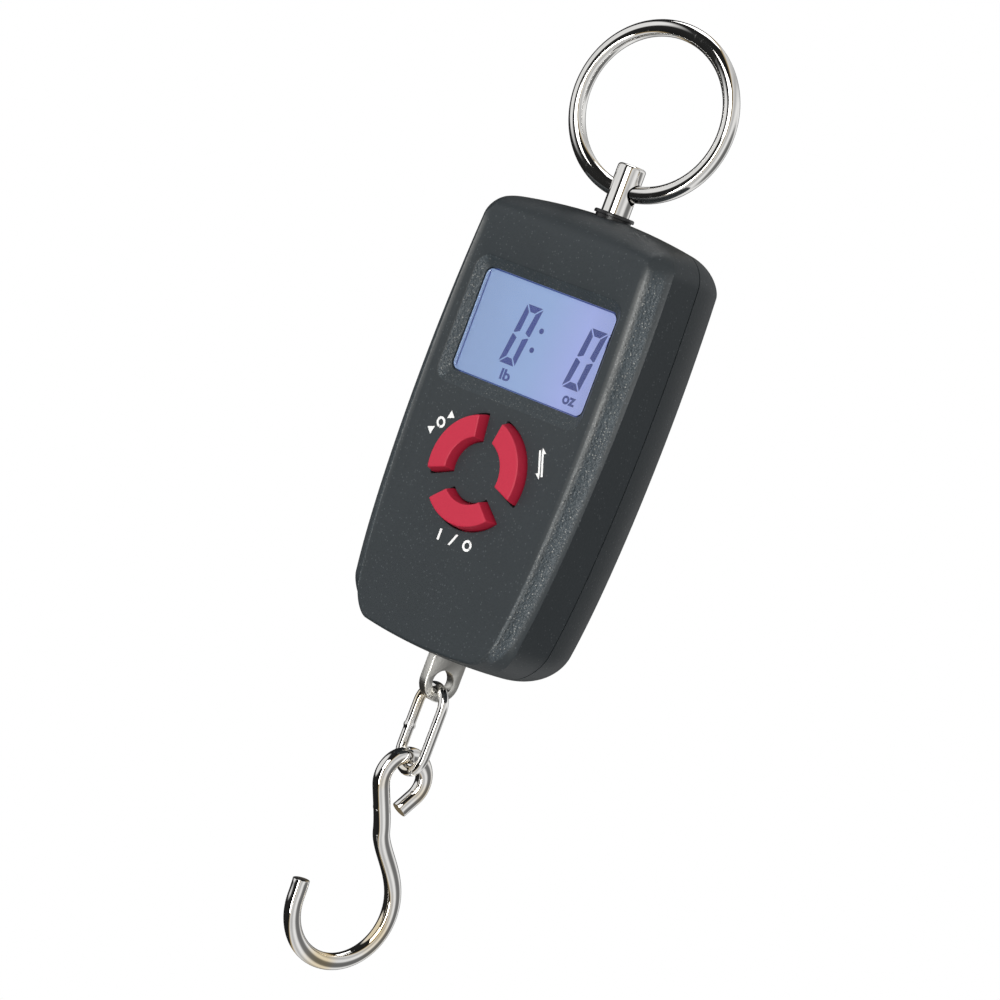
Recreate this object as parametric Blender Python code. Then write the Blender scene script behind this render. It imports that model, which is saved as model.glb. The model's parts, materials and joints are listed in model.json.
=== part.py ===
"""Hanging digital fish scale. Sizes are in millimetres and become metres when a mesh is made.

Frame: +Z runs up the load axis, -Y is the side with the display, +X is the viewer's right.
The origin is the point of the ring's inner top, where a finger or a hook carries the scale.
"""

import math

import bmesh
import bpy
from mathutils import Vector

MM = 0.001

# Clearances
GAP = 0.3
PASS = 0.3

# Ring and post
RING_R = 18.2
RING_WIRE = 3.74
RING_TURN = 10.0
POST_D = 6.3
POST_HOLE_D = 4.5
POST_CROWN = 5.8
HOLE_RISE = 6.3
SHANK_D = 4.0
NUT_FLATS = 7.0
NUT_H = 3.2
WASHER_H = 0.8

# Case
CASE_W = 57.6
CASE_H = 100.6
FRONT_DEPTH = 12.8
REAR_DEPTH = 10.4
WALL = 2.0
SIDE_RADIUS = 480.0
SIDE_WIDEST_DROP = 37.7
TOP_RADIUS = 145.0
BOTTOM_RADIUS = 135.0
TOP_CORNER = 5.4
SIDE_TUCK = 0.4
BOTTOM_CORNER = 7.6
TOP_ROLL = 7.8
TOP_ROLL_CORNER = 4.9
BOTTOM_CROWN = 1.0
EDGE_ROUND = 0.7
LIP_INSET = 0.8
LIP_DEPTH_TOP = 8.4
LIP_DEPTH_BOTTOM = 10.1
PLATEAU_INSET = 4.5
SCOOP_SAG_TOP = 0.4
SCOOP_SAG_BOTTOM = 0.95
REAR_INSET = 3.4
REAR_ROLL = 5.5

# Display
LCD_W = 37.7
LCD_H = 23.2
LCD_DROP = 30.2
LCD_CORNER = 1.8
LENS_T = 1.2
DISH_DEPTH = 1.9
DISH_SIDE = 1.65
DISH_TOP = 2.2
DISH_BOTTOM = 3.05
DISH_CORNER = 3.0
PAD_T = 1.6
GLASS_T = 1.2
GLASS_MARGIN = 1.8
BACKLIGHT_T = 1.0
STRIP_H = 1.4

# Keys
KEY_BELOW_LCD = 30.2
KEY_R_OUT = 12.55
KEY_R_IN = 6.9
KEY_GAP_OUT = 2.9
KEY_GAP_IN = 2.0
KEY_RISE = 2.4
KEY_DRAFT = 0.42
KEY_CORNER = 1.2
KEY_FLANGE = 0.9
KEY_FLANGE_T = 0.8
KEY_TRAVEL = 0.5

# Board and what is on it
BOARD_T = 1.2
BOARD_W = 40.0
BOARD_TOP_DROP = 15.4
BOARD_BELOW_KEYS = 14.0
SWITCH_SIDE = 4.5
SWITCH_H = 1.6
PLUNGER_D = 2.4
CHIP_D = 6.0
CHIP_H = 1.1
BOARD_SCREW_X = 18.5
BOARD_SCREW_D = 1.8

# Load beam
BEAM_Y0 = -4.2
BEAM_Y1 = 3.0
ARM_H = 6.0
ARM_REACH = 6.0
SPINE_X0 = 8.0
SPINE_W = 6.0
SPINE_NECK = 3.2
ARM_TOP_DROP = 19.4
ARM_BOTTOM_RISE = 23.3
GAUGE_T = 0.2
BEAM_SCREW_D = 2.3

# Case screws
BOSS_D = 6.0
CASE_SCREW_D = 2.6
CASE_SCREW_HEAD_D = 5.0
BOSS_TOP_DROP = 11.4
BOSS_TOP_EDGE = 8.2
BOSS_BOTTOM_RISE = 11.3
BOSS_BOTTOM_EDGE = 9.9

# Cells and door
CELL_D = 20.0
CELL_T = 3.2
CUP_WALL = 1.2
CUP_FLOOR = 0.6
CUP_Y0 = 3.4
CELL_LOW_RISE = 17.5
CELL_HIGH_RISE = 46.8
CONTACT_T = 0.2
DOOR_W = 26.0
DOOR_T = 1.4
DOOR_FLOOR = 1.2
DOOR_TOP_RISE = 60.5
DOOR_BOTTOM_RISE = 4.2

# Bush
BUSH_D = 9.0
BUSH_NECK_D = 8.0
BUSH_LIP_D = 10.0
BUSH_RISE = 0.8

# Tab, link and hook
TAB_TURN = -15.0
TAB_W = 9.0
TAB_T = 2.7
TAB_HOLE_D = 5.5
TAB_HOLE_DROP = 5.3
TAB_SHOULDER = 3.8
TAB_SLOT_R = 5.0
LINK_WIRE = 2.3
LINK_LEN = 19.25
LINK_W = 9.1
HOOK_WIRE = 3.75
EYE_R = 5.45
BEND_R = 12.6
BEND_OFFSET = 3.15
BEND_DROP = 30.1
NECK_DROP = 12.0
NECK_OFFSET = 0.5
NECK_LEAN = 17.5
EYE_LEAVE = 25.0
EYE_END_TURN = 35.0
EYE_END_LEN = 4.4
TIP_RISE = 3.6
TIP_OPEN = 0.2

# Heights that follow from the sizes above
HOLE_Z = -(2 * RING_R - RING_WIRE / 2)
CASE_TOP = HOLE_Z - HOLE_RISE
CASE_BOTTOM = CASE_TOP - CASE_H
LCD_Z = CASE_TOP - LCD_DROP
KEY_Z = LCD_Z - KEY_BELOW_LCD
FACE_Y = -FRONT_DEPTH
INNER_FACE_Y = FACE_Y + WALL
LENS_Y = FACE_Y + DISH_DEPTH
PAD_Y = LENS_Y + PAD_T
GLASS_Y0 = PAD_Y + GAP
GLASS_Y1 = GLASS_Y0 + GLASS_T
BACKLIGHT_Y0 = GLASS_Y1 + GAP
BACKLIGHT_Y1 = BACKLIGHT_Y0 + BACKLIGHT_T
BOARD_Y0 = BACKLIGHT_Y1 + GAP
BOARD_Y1 = BOARD_Y0 + BOARD_T
BOARD_TOP = CASE_TOP - BOARD_TOP_DROP
BOARD_BOTTOM = KEY_Z - BOARD_BELOW_KEYS
ARM_TOP_Z = CASE_TOP - ARM_TOP_DROP
ARM_LOW_Z = CASE_BOTTOM + ARM_BOTTOM_RISE
BOARD_SCREW_Z = KEY_Z + 11.4
TAB_HOLE_Z = CASE_BOTTOM - TAB_HOLE_DROP
LINK_TOP_Z = TAB_HOLE_Z - TAB_HOLE_D / 2 + LINK_WIRE / 2 + GAP
LINK_LOW_Z = LINK_TOP_Z - LINK_LEN
EYE_Z = LINK_LOW_Z + LINK_WIRE / 2 + GAP + HOOK_WIRE / 2 - EYE_R
REAR_INNER_Y = REAR_DEPTH - DOOR_T - GAP - DOOR_FLOOR
ROUND = 40


def material(name, colour, metallic, roughness):
    found = bpy.data.materials.get(name)
    if found:
        return found
    made = bpy.data.materials.new(name)
    made.use_nodes = True
    shader = made.node_tree.nodes["Principled BSDF"]
    shader.inputs["Base Color"].default_value = (*colour, 1.0)
    shader.inputs["Metallic"].default_value = metallic
    shader.inputs["Roughness"].default_value = roughness
    return made


def case_plastic(name):
    return material(name, (0.045, 0.05, 0.055), 0.0, 0.55)


def dark_plastic(name):
    return material(name, (0.012, 0.012, 0.013), 0.0, 0.4)


def key_plastic(name):
    return material(name, (0.6, 0.03, 0.07), 0.0, 0.4)


def chrome(name):
    return material(name, (0.75, 0.74, 0.72), 1.0, 0.12)


def steel(name):
    return material(name, (0.55, 0.55, 0.53), 1.0, 0.35)


def clear_plastic(name):
    return material(name, (0.35, 0.42, 0.75), 0.0, 0.1)


def board_green(name):
    return material(name, (0.02, 0.15, 0.06), 0.0, 0.5)


def rubber(name):
    return material(name, (0.6, 0.5, 0.4), 0.0, 0.7)


# ---- mesh helpers ----


def new_object(name, verts, faces, look, origin=(0, 0, 0)):
    """One closed solid. The points are where they lie, and origin is the object's own origin."""
    mesh = bpy.data.meshes.new(name)
    shifted = [tuple((p[k] - origin[k]) * MM for k in range(3)) for p in verts]
    mesh.from_pydata(shifted, [], faces)
    work = bmesh.new()
    work.from_mesh(mesh)
    bmesh.ops.remove_doubles(work, verts=work.verts, dist=1e-7)
    bmesh.ops.recalc_face_normals(work, faces=work.faces)
    work.to_mesh(mesh)
    work.free()
    made = bpy.data.objects.new(name, mesh)
    made.location = tuple(c * MM for c in origin)
    bpy.context.scene.collection.objects.link(made)
    if look:
        mesh.materials.append(look)
    mesh.shade_smooth()
    mesh.set_sharp_from_angle(angle=math.radians(32))
    return made


def loft(sections, closed=False):
    """Points and faces through sections of equal length. Flat caps close an open loft."""
    count = len(sections[0])
    verts = [p for section in sections for p in section]
    faces = []
    rows = len(sections)
    for row in range(rows if closed else rows - 1):
        below = (row + 1) % rows
        for i in range(count):
            j = (i + 1) % count
            faces.append((row * count + i, row * count + j, below * count + j, below * count + i))
    if not closed:
        faces.append(tuple(range(count))[::-1])
        faces.append(tuple((rows - 1) * count + i for i in range(count)))
    return verts, faces


def turned(profile, centre, axis="Z", steps=ROUND):
    """A solid turned about an axis from a profile of (radius, height), all radii above 0."""
    sections = []
    for radius, height in profile:
        section = []
        for i in range(steps):
            angle = 2 * math.pi * i / steps
            a = radius * math.cos(angle)
            b = radius * math.sin(angle)
            if axis == "Z":
                section.append((centre[0] + a, centre[1] + b, centre[2] + height))
            else:
                section.append((centre[0] + a, centre[1] + height, centre[2] + b))
        sections.append(section)
    return sections


def turned_solid(name, profile, centre, look, axis="Z", steps=ROUND, origin=(0, 0, 0)):
    verts, faces = loft(turned(profile, centre, axis, steps))
    return new_object(name, verts, faces, look, origin)


def ring_solid(name, profile, centre, look, axis="Z", steps=ROUND, origin=(0, 0, 0)):
    """A turned solid whose profile is a closed loop, so that it has a hole down its axis."""
    verts, faces = loft(turned(profile, centre, axis, steps), closed=True)
    return new_object(name, verts, faces, look, origin)


def along_y(outline, y):
    return [(x, y, z) for x, z in outline]


def slab(name, outline, y0, y1, look, origin=(0, 0, 0)):
    """An outline in XZ that is given a thickness from y0 to y1."""
    verts, faces = loft([along_y(outline, y0), along_y(outline, y1)])
    return new_object(name, verts, faces, look, origin)


def rectangle(x0, x1, z0, z1):
    return [(x0, z0), (x1, z0), (x1, z1), (x0, z1)]


def circle(cx, cz, radius, steps=24):
    points = []
    for i in range(steps):
        angle = 2 * math.pi * i / steps
        points.append((cx + radius * math.cos(angle), cz + radius * math.sin(angle)))
    return points


def rounded(points, radius, steps=4):
    """The outline with each sharp corner made round. A corner takes no more than its shorter side."""
    result = []
    count = len(points)
    for i in range(count):
        here = Vector(points[i])
        before = Vector(points[i - 1]) - here
        after = Vector(points[(i + 1) % count]) - here
        if before.angle(after) > math.radians(150):
            result.append(tuple(here))
            continue
        reach = min(radius, 0.49 * before.length, 0.49 * after.length)
        start = here + before.normalized() * reach
        end = here + after.normalized() * reach
        for k in range(steps + 1):
            t = k / steps
            point = start * (1 - t) ** 2 + here * (2 * t * (1 - t)) + end * t**2
            result.append(tuple(point))
    return result


def soft_rectangle(x0, x1, z0, z1, radius, steps=5):
    """A rectangle with round corners, always with the same number of points."""
    points = []
    corners = ((x1, z1, 0), (x0, z1, 1), (x0, z0, 2), (x1, z0, 3))
    for cx, cz, quarter in corners:
        mx = cx - radius if cx == x1 else cx + radius
        mz = cz - radius if cz == z1 else cz + radius
        for k in range(steps + 1):
            angle = math.pi / 2 * (quarter + k / steps)
            points.append((mx + radius * math.cos(angle), mz + radius * math.sin(angle)))
    return points


def tube(name, path, radius, look, closed=False, sides=12, origin=(0, 0, 0)):
    """A round wire along a path of points, with flat ends unless it is closed."""
    count = len(path)
    points = [Vector(p) for p in path]
    sections = []
    normal = None
    for i in range(count):
        ahead = points[(i + 1) % count] if closed or i < count - 1 else points[i]
        behind = points[i - 1] if closed or i > 0 else points[i]
        tangent = (ahead - behind).normalized()
        if normal is None:
            side = Vector((0, 0, 1)) if abs(tangent.z) < 0.9 else Vector((1, 0, 0))
            normal = tangent.cross(side).cross(tangent).normalized()
        normal = (normal - tangent * normal.dot(tangent)).normalized()
        other = tangent.cross(normal)
        section = []
        for k in range(sides):
            angle = 2 * math.pi * k / sides
            offset = normal * math.cos(angle) + other * math.sin(angle)
            section.append(tuple(points[i] + offset * radius))
        sections.append(section)
    verts, faces = loft(sections, closed)
    return new_object(name, verts, faces, look, origin)


def combine(target, tool, operation):
    """A Boolean of the two solids, kept in target. The tool is removed."""
    modifier = target.modifiers.new("Shape", "BOOLEAN")
    modifier.operation = operation
    modifier.solver = "EXACT"
    modifier.object = tool
    bpy.context.view_layer.update()
    graph = bpy.context.evaluated_depsgraph_get()
    result = bpy.data.meshes.new_from_object(target.evaluated_get(graph))
    target.modifiers.clear()
    target.data = result
    bpy.data.objects.remove(tool)
    work = bmesh.new()
    work.from_mesh(result)
    bmesh.ops.dissolve_degenerate(work, dist=1e-8, edges=work.edges)
    work.to_mesh(result)
    work.free()
    result.set_sharp_from_angle(angle=math.radians(32))


def cut(target, tool):
    combine(target, tool, "DIFFERENCE")


def join(target, tool):
    combine(target, tool, "UNION")


def cut_round(target, x, z, radius, y0, y1, steps=24):
    cut(target, slab("tool", circle(x, z, radius, steps), y0, y1, None))


def join_round(target, x, z, radius, y0, y1, steps=24):
    join(target, slab("tool", circle(x, z, radius, steps), y0, y1, None))


# ---- case ----


def half_width(z):
    drop = CASE_TOP - SIDE_WIDEST_DROP - z
    tuck = SIDE_TUCK * max(0.0, drop / (CASE_H / 2)) ** 6
    return CASE_W / 2 - (SIDE_RADIUS - math.sqrt(SIDE_RADIUS**2 - drop**2)) - tuck


def lip_depth(z):
    """How far in front of the parting line the scoop's outer lip lies."""
    share = (CASE_TOP - z) / CASE_H
    return LIP_DEPTH_TOP + (LIP_DEPTH_BOTTOM - LIP_DEPTH_TOP) * share


def top_z(x):
    return CASE_TOP - (TOP_RADIUS - math.sqrt(TOP_RADIUS**2 - x**2))


def bottom_z(x):
    return CASE_BOTTOM + (BOTTOM_RADIUS - math.sqrt(BOTTOM_RADIUS**2 - x**2))


def corner_curve(start, corner, end, steps):
    points = []
    for k in range(1, steps):
        t = k / steps
        a = Vector(start).lerp(Vector(corner), 0.56)
        b = Vector(end).lerp(Vector(corner), 0.56)
        point = Vector(start) * (1 - t) ** 3 + a * (3 * t * (1 - t) ** 2)
        point += b * (3 * t**2 * (1 - t)) + Vector(end) * t**3
        points.append(tuple(point))
    return points


def case_outline():
    """The case's widest outline, clockwise from the top centre, as (x, z, normal x, normal z)."""
    top_x = half_width(CASE_TOP - 3)
    low_x = half_width(CASE_BOTTOM + 3)
    top_corner = (top_x, top_z(top_x))
    low_corner = (low_x, bottom_z(low_x))
    side_top = top_corner[1] - TOP_CORNER
    side_low = low_corner[1] + BOTTOM_CORNER
    half = []
    for k in range(8):
        x = (top_x - TOP_CORNER) * k / 7
        half.append((x, top_z(x)))
    half += corner_curve(half[-1], top_corner, (half_width(side_top), side_top), 6)
    for k in range(13):
        z = side_top + (side_low - side_top) * k / 12
        half.append((half_width(z), z))
    low_start = (low_x - BOTTOM_CORNER, bottom_z(low_x - BOTTOM_CORNER))
    half += corner_curve(half[-1], low_corner, low_start, 7)
    for k in range(8):
        x = low_start[0] * (1 - k / 7)
        half.append((x, bottom_z(x)))
    full = half + [(-x, z) for x, z in half[-2:0:-1]]
    result = []
    for i, (x, z) in enumerate(full):
        before = full[i - 1]
        after = full[(i + 1) % len(full)]
        tangent = Vector((after[0] - before[0], after[1] - before[1])).normalized()
        result.append((x, z, -tangent.y, tangent.x))
    return result


def case_section(outline, side, top, bottom):
    """One ring of points. Each of side, top and bottom is (inset, y), and a corner blends them."""
    points = []
    for x, z, nx, nz in outline:
        inset_s, y_s = side(z) if callable(side) else side
        inset_v, y_v = top(x) if nz > 0 else bottom
        weight = nx * nx
        y = weight * y_s + (1 - weight) * y_v
        points.append((x - nx * inset_s, y, z - nz * inset_v))
    return points


def roll(inset_mid, inset_corner, depth, turn):
    """The top's roll-over as a share of a quarter turn. It is tighter towards the corners."""

    def at(x):
        share = math.cos(math.pi / 2 * min(1.0, abs(x) / (CASE_W / 2))) ** 2
        inset = inset_corner + (inset_mid - inset_corner) * share
        return inset * (1 - math.cos(turn)), depth * math.sin(turn)

    return at


def scoop(share):
    """The grip scoop beside the display plateau, from the lip (0) to the plateau's edge (1)."""

    def at(z):
        height = (z - CASE_BOTTOM) / CASE_H
        sag = SCOOP_SAG_BOTTOM + (SCOOP_SAG_TOP - SCOOP_SAG_BOTTOM) * height
        inward = sag * 4 * share * (1 - share) * math.sqrt(0.5)
        inset = LIP_INSET + (PLATEAU_INSET - LIP_INSET) * share + inward
        lip = lip_depth(z)
        return inset, -lip - (FRONT_DEPTH - lip) * share + inward

    return at


def side_wall(inset, share):
    """The side between the parting line (0) and the lip (1)."""

    def at(z):
        return inset, -max(GAP / 2, lip_depth(z) * share)

    return at


def front_sections(outline):
    sides = [side_wall(LIP_INSET * k / 3, k / 3) for k in range(3)]
    sides += [side_wall(LIP_INSET - 0.05, 0.95)]
    sides += [scoop(k / 6) for k in range(7)]
    last = len(sides) - 1
    crown = FRONT_DEPTH - EDGE_ROUND
    sections = []
    for k, side in enumerate(sides):
        turn = math.pi / 2 * k / last
        lead = GAP / 2 * (1 - k / last)
        top = roll(TOP_ROLL, TOP_ROLL_CORNER, -FRONT_DEPTH, turn)
        if k == 0:
            top = roll(TOP_ROLL, TOP_ROLL_CORNER, -FRONT_DEPTH, lead / FRONT_DEPTH)
        along = k / (last - 2)
        if along <= 1:
            bottom = (BOTTOM_CROWN * along**2, -max(GAP / 2, crown * along))
        else:
            edge = math.pi / 2 * (k - last + 2) / 2
            bottom = (
                BOTTOM_CROWN + EDGE_ROUND * (1 - math.cos(edge)),
                -crown - EDGE_ROUND * math.sin(edge),
            )
        sections.append(case_section(outline, side, top, bottom))
    return sections


def rear_sections(outline):
    sections = []
    steps = 7
    for k in range(steps + 1):
        turn = math.pi / 2 * k / steps
        start = GAP / 2
        depth = start + (REAR_DEPTH - start) * math.sin(turn)
        side = (REAR_INSET * (1 - math.cos(turn)) ** 1.2, depth)
        amount = 1 - math.cos(turn)
        high = REAR_ROLL * amount
        low = (REAR_INSET * amount, depth)
        sections.append(case_section(outline, side, lambda x, h=high, d=depth: (h, d), low))
    return sections


def inner_sections(outline, depths):
    """The hollow, a wall inside the outer shape. depths holds (side inset, top inset, low inset, y)."""
    sections = []
    for side, high, low, y in depths:
        sections.append(
            case_section(outline, (side, y), lambda x, h=high, d=y: (h, d), (low, y))
        )
    return sections


def bosses():
    """The four screw places as (x, z)."""
    high = CASE_TOP - BOSS_TOP_DROP
    low = CASE_BOTTOM + BOSS_BOTTOM_RISE
    high_x = CASE_W / 2 - BOSS_TOP_EDGE
    low_x = CASE_W / 2 - BOSS_BOTTOM_EDGE
    return [(-high_x, high), (high_x, high), (-low_x, low), (low_x, low)]


def beam_screw_places():
    x = SPINE_X0 + SPINE_W / 2
    return [(x, ARM_TOP_Z - ARM_H / 2), (x, ARM_TOP_Z - ARM_H - 4.0)]


def cell_heights():
    return [CASE_BOTTOM + CELL_LOW_RISE, CASE_BOTTOM + CELL_HIGH_RISE]


def window_outline(margin):
    return soft_rectangle(
        -LCD_W / 2 - margin,
        LCD_W / 2 + margin,
        LCD_Z - LCD_H / 2 - margin,
        LCD_Z + LCD_H / 2 + margin,
        LCD_CORNER + margin,
    )


def dish_outline(share):
    """The dish around the window. share is 0 at the window and 1 at the face."""
    side = LCD_W / 2 + DISH_SIDE * share + PASS / 2
    return soft_rectangle(
        -side,
        side,
        LCD_Z - LCD_H / 2 - PASS / 2 - DISH_BOTTOM * share,
        LCD_Z + LCD_H / 2 + PASS / 2 + DISH_TOP * share,
        LCD_CORNER + PASS / 2 + (DISH_CORNER - LCD_CORNER) * share,
    )


def dish_tool():
    over = 1.0
    stretched = 1 + over / DISH_DEPTH
    sections = [
        along_y(dish_outline(stretched), FACE_Y - over),
        along_y(dish_outline(0), LENS_Y),
        along_y(dish_outline(0), PAD_Y + 2),
    ]
    verts, faces = loft(sections)
    return new_object("tool", verts, faces, None)


def key_outline(direction, out):
    """A key's outline, grown by out all round. direction is its middle, in degrees from +X."""
    radii = ((KEY_R_OUT + out, KEY_GAP_OUT - out), (KEY_R_IN - out, KEY_GAP_IN - out))
    points = []
    for turn, (radius, half_gap) in zip((1, -1), radii):
        reach = math.radians(60) - math.asin(half_gap / radius)
        for k in range(13):
            angle = math.radians(direction) + turn * reach * (1 - 2 * k / 12)
            points.append((radius * math.cos(angle), KEY_Z + radius * math.sin(angle)))
    return rounded(points, KEY_CORNER + max(0.0, out))


KEYS = (("tare_button", 150), ("unit_button", 30), ("power_button", 270))


def front_case():
    outline = case_outline()
    verts, faces = loft(front_sections(outline))
    case = new_object("front_case", verts, faces, case_plastic("front_case"))
    depths = (
        (WALL, WALL, WALL, 1.0),
        (WALL, WALL, WALL, -GAP),
        (WALL + LIP_INSET, WALL + TOP_ROLL * 0.35, WALL + BOTTOM_CROWN * 0.7, 1.0 - LIP_DEPTH_TOP),
        (
            WALL + PLATEAU_INSET,
            WALL + TOP_ROLL * 0.75,
            WALL + BOTTOM_CROWN,
            INNER_FACE_Y,
        ),
    )
    verts, faces = loft(inner_sections(outline, depths))
    cut(case, new_object("tool", verts, faces, None))
    edge = GLASS_MARGIN + 1.5
    pad = rectangle(
        -LCD_W / 2 - edge, LCD_W / 2 + edge, LCD_Z - LCD_H / 2 - DISH_BOTTOM - 0.8, LCD_Z + LCD_H / 2 + edge
    )
    join(case, slab("tool", pad, FACE_Y + 0.8, PAD_Y, None))
    for x, z in bosses():
        join_round(case, x, z, BOSS_D / 2, INNER_FACE_Y - 0.5, -GAP / 2)
    for side in (-1, 1):
        x = side * BOARD_SCREW_X
        join_round(case, x, BOARD_SCREW_Z, 2.3, INNER_FACE_Y - 0.5, BOARD_Y0 - GAP, 16)
    cut(case, dish_tool())
    for _, direction in KEYS:
        hole = key_outline(direction, PASS)
        cut(case, slab("tool", hole, FACE_Y - 1, INNER_FACE_Y + 1, None))
    for x, z in bosses():
        cut_round(case, x, z, CASE_SCREW_D / 2 + PASS, -7.5, 1.0, 16)
    for side in (-1, 1):
        x = side * BOARD_SCREW_X
        cut_round(case, x, BOARD_SCREW_Z, BOARD_SCREW_D / 2 + PASS, BOARD_Y0 - 3.5, 0.0, 12)
    cut(case, bush_tool())
    cut(case, tab_tool())
    return case


def bush_tool():
    radius = BUSH_NECK_D / 2 + PASS
    return turned_solid("tool", [(radius, -8.0), (radius, 4.0)], (0, 0, CASE_TOP), None)


def tab_tool():
    profile = [(TAB_SLOT_R, -4.0), (TAB_SLOT_R, TAB_SHOULDER + 0.6)]
    return turned_solid("tool", profile, (0, 0, CASE_BOTTOM), None)


def rear_case():
    outline = case_outline()
    verts, faces = loft(rear_sections(outline))
    case = new_object("rear_case", verts, faces, case_plastic("rear_case"))
    depths = (
        (WALL, WALL, WALL, -1.0),
        (WALL, WALL, WALL, GAP),
        (WALL + 0.6, WALL + 1.6, WALL + 0.6, REAR_DEPTH * 0.55),
        (WALL + REAR_INSET * 0.7, WALL + REAR_ROLL * 0.75, WALL + REAR_INSET * 0.7, REAR_INNER_Y),
    )
    verts, faces = loft(inner_sections(outline, depths)[::-1])
    cut(case, new_object("tool", verts, faces, None))
    cup = CELL_D / 2 + PASS + CUP_WALL
    for z in cell_heights():
        join_round(case, 0, z, cup, CUP_Y0, REAR_INNER_Y + 0.5, 36)
    for x, z in bosses():
        join_round(case, x, z, BOSS_D / 2 + 0.5, GAP / 2, REAR_INNER_Y + 0.5)
    for x, z in beam_screw_places():
        join_round(case, x, z, 2.6, BEAM_Y1 + GAP, REAR_INNER_Y + 0.5, 16)
    for z in cell_heights():
        cut_round(case, 0, z, CELL_D / 2 + PASS, CUP_Y0 + CUP_FLOOR, REAR_DEPTH + 1, 36)
    channel = rectangle(
        -DOOR_W / 2 - PASS,
        DOOR_W / 2 + PASS,
        CASE_BOTTOM - 5,
        CASE_BOTTOM + DOOR_TOP_RISE + PASS,
    )
    cut(case, slab("tool", channel, REAR_DEPTH - DOOR_T - GAP, REAR_DEPTH + 2, None))
    for x, z in bosses():
        cut_round(case, x, z, CASE_SCREW_D / 2 + PASS, -1.0, REAR_DEPTH + 1, 16)
        cut_round(case, x, z, CASE_SCREW_HEAD_D / 2 + PASS, REAR_DEPTH - 4.2, REAR_DEPTH + 1, 20)
    for x, z in beam_screw_places():
        cut_round(case, x, z, BEAM_SCREW_D / 2 + PASS, BEAM_Y1 - 1, BEAM_Y1 + 4.5, 12)
    cut(case, bush_tool())
    cut(case, tab_tool())
    return case


def battery_door():
    low = CASE_BOTTOM + DOOR_BOTTOM_RISE
    high = CASE_BOTTOM + DOOR_TOP_RISE
    plate = soft_rectangle(-DOOR_W / 2, DOOR_W / 2, low, high, 0.8)
    y0 = REAR_DEPTH - DOOR_T
    origin = (0, REAR_DEPTH - DOOR_T / 2, (low + high) / 2)
    door = slab("battery_door", plate, y0, REAR_DEPTH, case_plastic("battery_door"), origin)
    for k in range(4):
        z = high - 6.0 - 2.4 * k
        groove = soft_rectangle(-7.0, 7.0, z - 0.6, z + 0.6, 0.5)
        cut(door, slab("tool", groove, REAR_DEPTH - 0.5, REAR_DEPTH + 1, None))
    return door


def case_screws():
    for number, (x, z) in enumerate(bosses(), 1):
        head = REAR_DEPTH - 2.2
        seat = REAR_DEPTH - 4.2 + GAP
        profile = [
            (CASE_SCREW_D / 2 - 0.5, -7.0),
            (CASE_SCREW_D / 2, -6.0),
            (CASE_SCREW_D / 2, seat),
            (CASE_SCREW_HEAD_D / 2, seat),
            (CASE_SCREW_HEAD_D / 2, head - 0.5),
            (CASE_SCREW_HEAD_D / 2 - 0.6, head),
        ]
        name = f"case_screw_{number}"
        screw = turned_solid(name, profile, (x, 0, z), steel(name), "Y", 20, (x, 0, z))
        for wide, tall in ((2.6, 0.7), (0.7, 2.6)):
            slot = rectangle(x - wide / 2, x + wide / 2, z - tall / 2, z + tall / 2)
            cut(screw, slab("tool", slot, head - 1.0, head + 1, None))


# ---- top fitting ----


def turn_about_z(points, degrees):
    angle = math.radians(degrees)
    c = math.cos(angle)
    s = math.sin(angle)
    return [(x * c - y * s, x * s + y * c, z) for x, y, z in points]


def hanging_ring():
    centre = -(RING_R - RING_WIRE / 2)
    path = []
    for i in range(56):
        angle = 2 * math.pi * i / 56
        path.append((RING_R * math.cos(angle), 0, centre + RING_R * math.sin(angle)))
    path = turn_about_z(path, RING_TURN)
    tube("hanging_ring", path, RING_WIRE / 2, chrome("hanging_ring"), True, 14)


def shank_end(arm_inner, direction):
    """Where a shank ends, past its washer and nut on the inner side of an arm."""
    return arm_inner + direction * (GAP * 3 + WASHER_H + NUT_H + 0.6)


def top_post():
    crown = HOLE_Z + POST_CROWN
    shoulder = ARM_TOP_Z + GAP
    end = shank_end(ARM_TOP_Z - ARM_H, -1)
    neck = CASE_TOP - 7.0
    profile = [
        (SHANK_D / 2 - 0.4, end),
        (SHANK_D / 2, end + 0.5),
        (SHANK_D / 2, shoulder),
        (POST_D / 2, shoulder),
        (POST_D / 2, neck),
        (POST_D / 2, crown - 0.6),
        (POST_D / 2 - 0.2, crown - 0.2),
        (POST_D / 2 - 0.7, crown),
    ]
    origin = (0, 0, HOLE_Z)
    post = turned_solid("top_post", profile, (0, 0, 0), chrome("top_post"), "Z", 32, origin)
    bore = [(-POST_D, 0, HOLE_Z), (POST_D, 0, HOLE_Z)]
    bore = turn_about_z(bore, RING_TURN)
    cut(post, tube("tool", bore, POST_HOLE_D / 2, None, False, 20))


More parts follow.
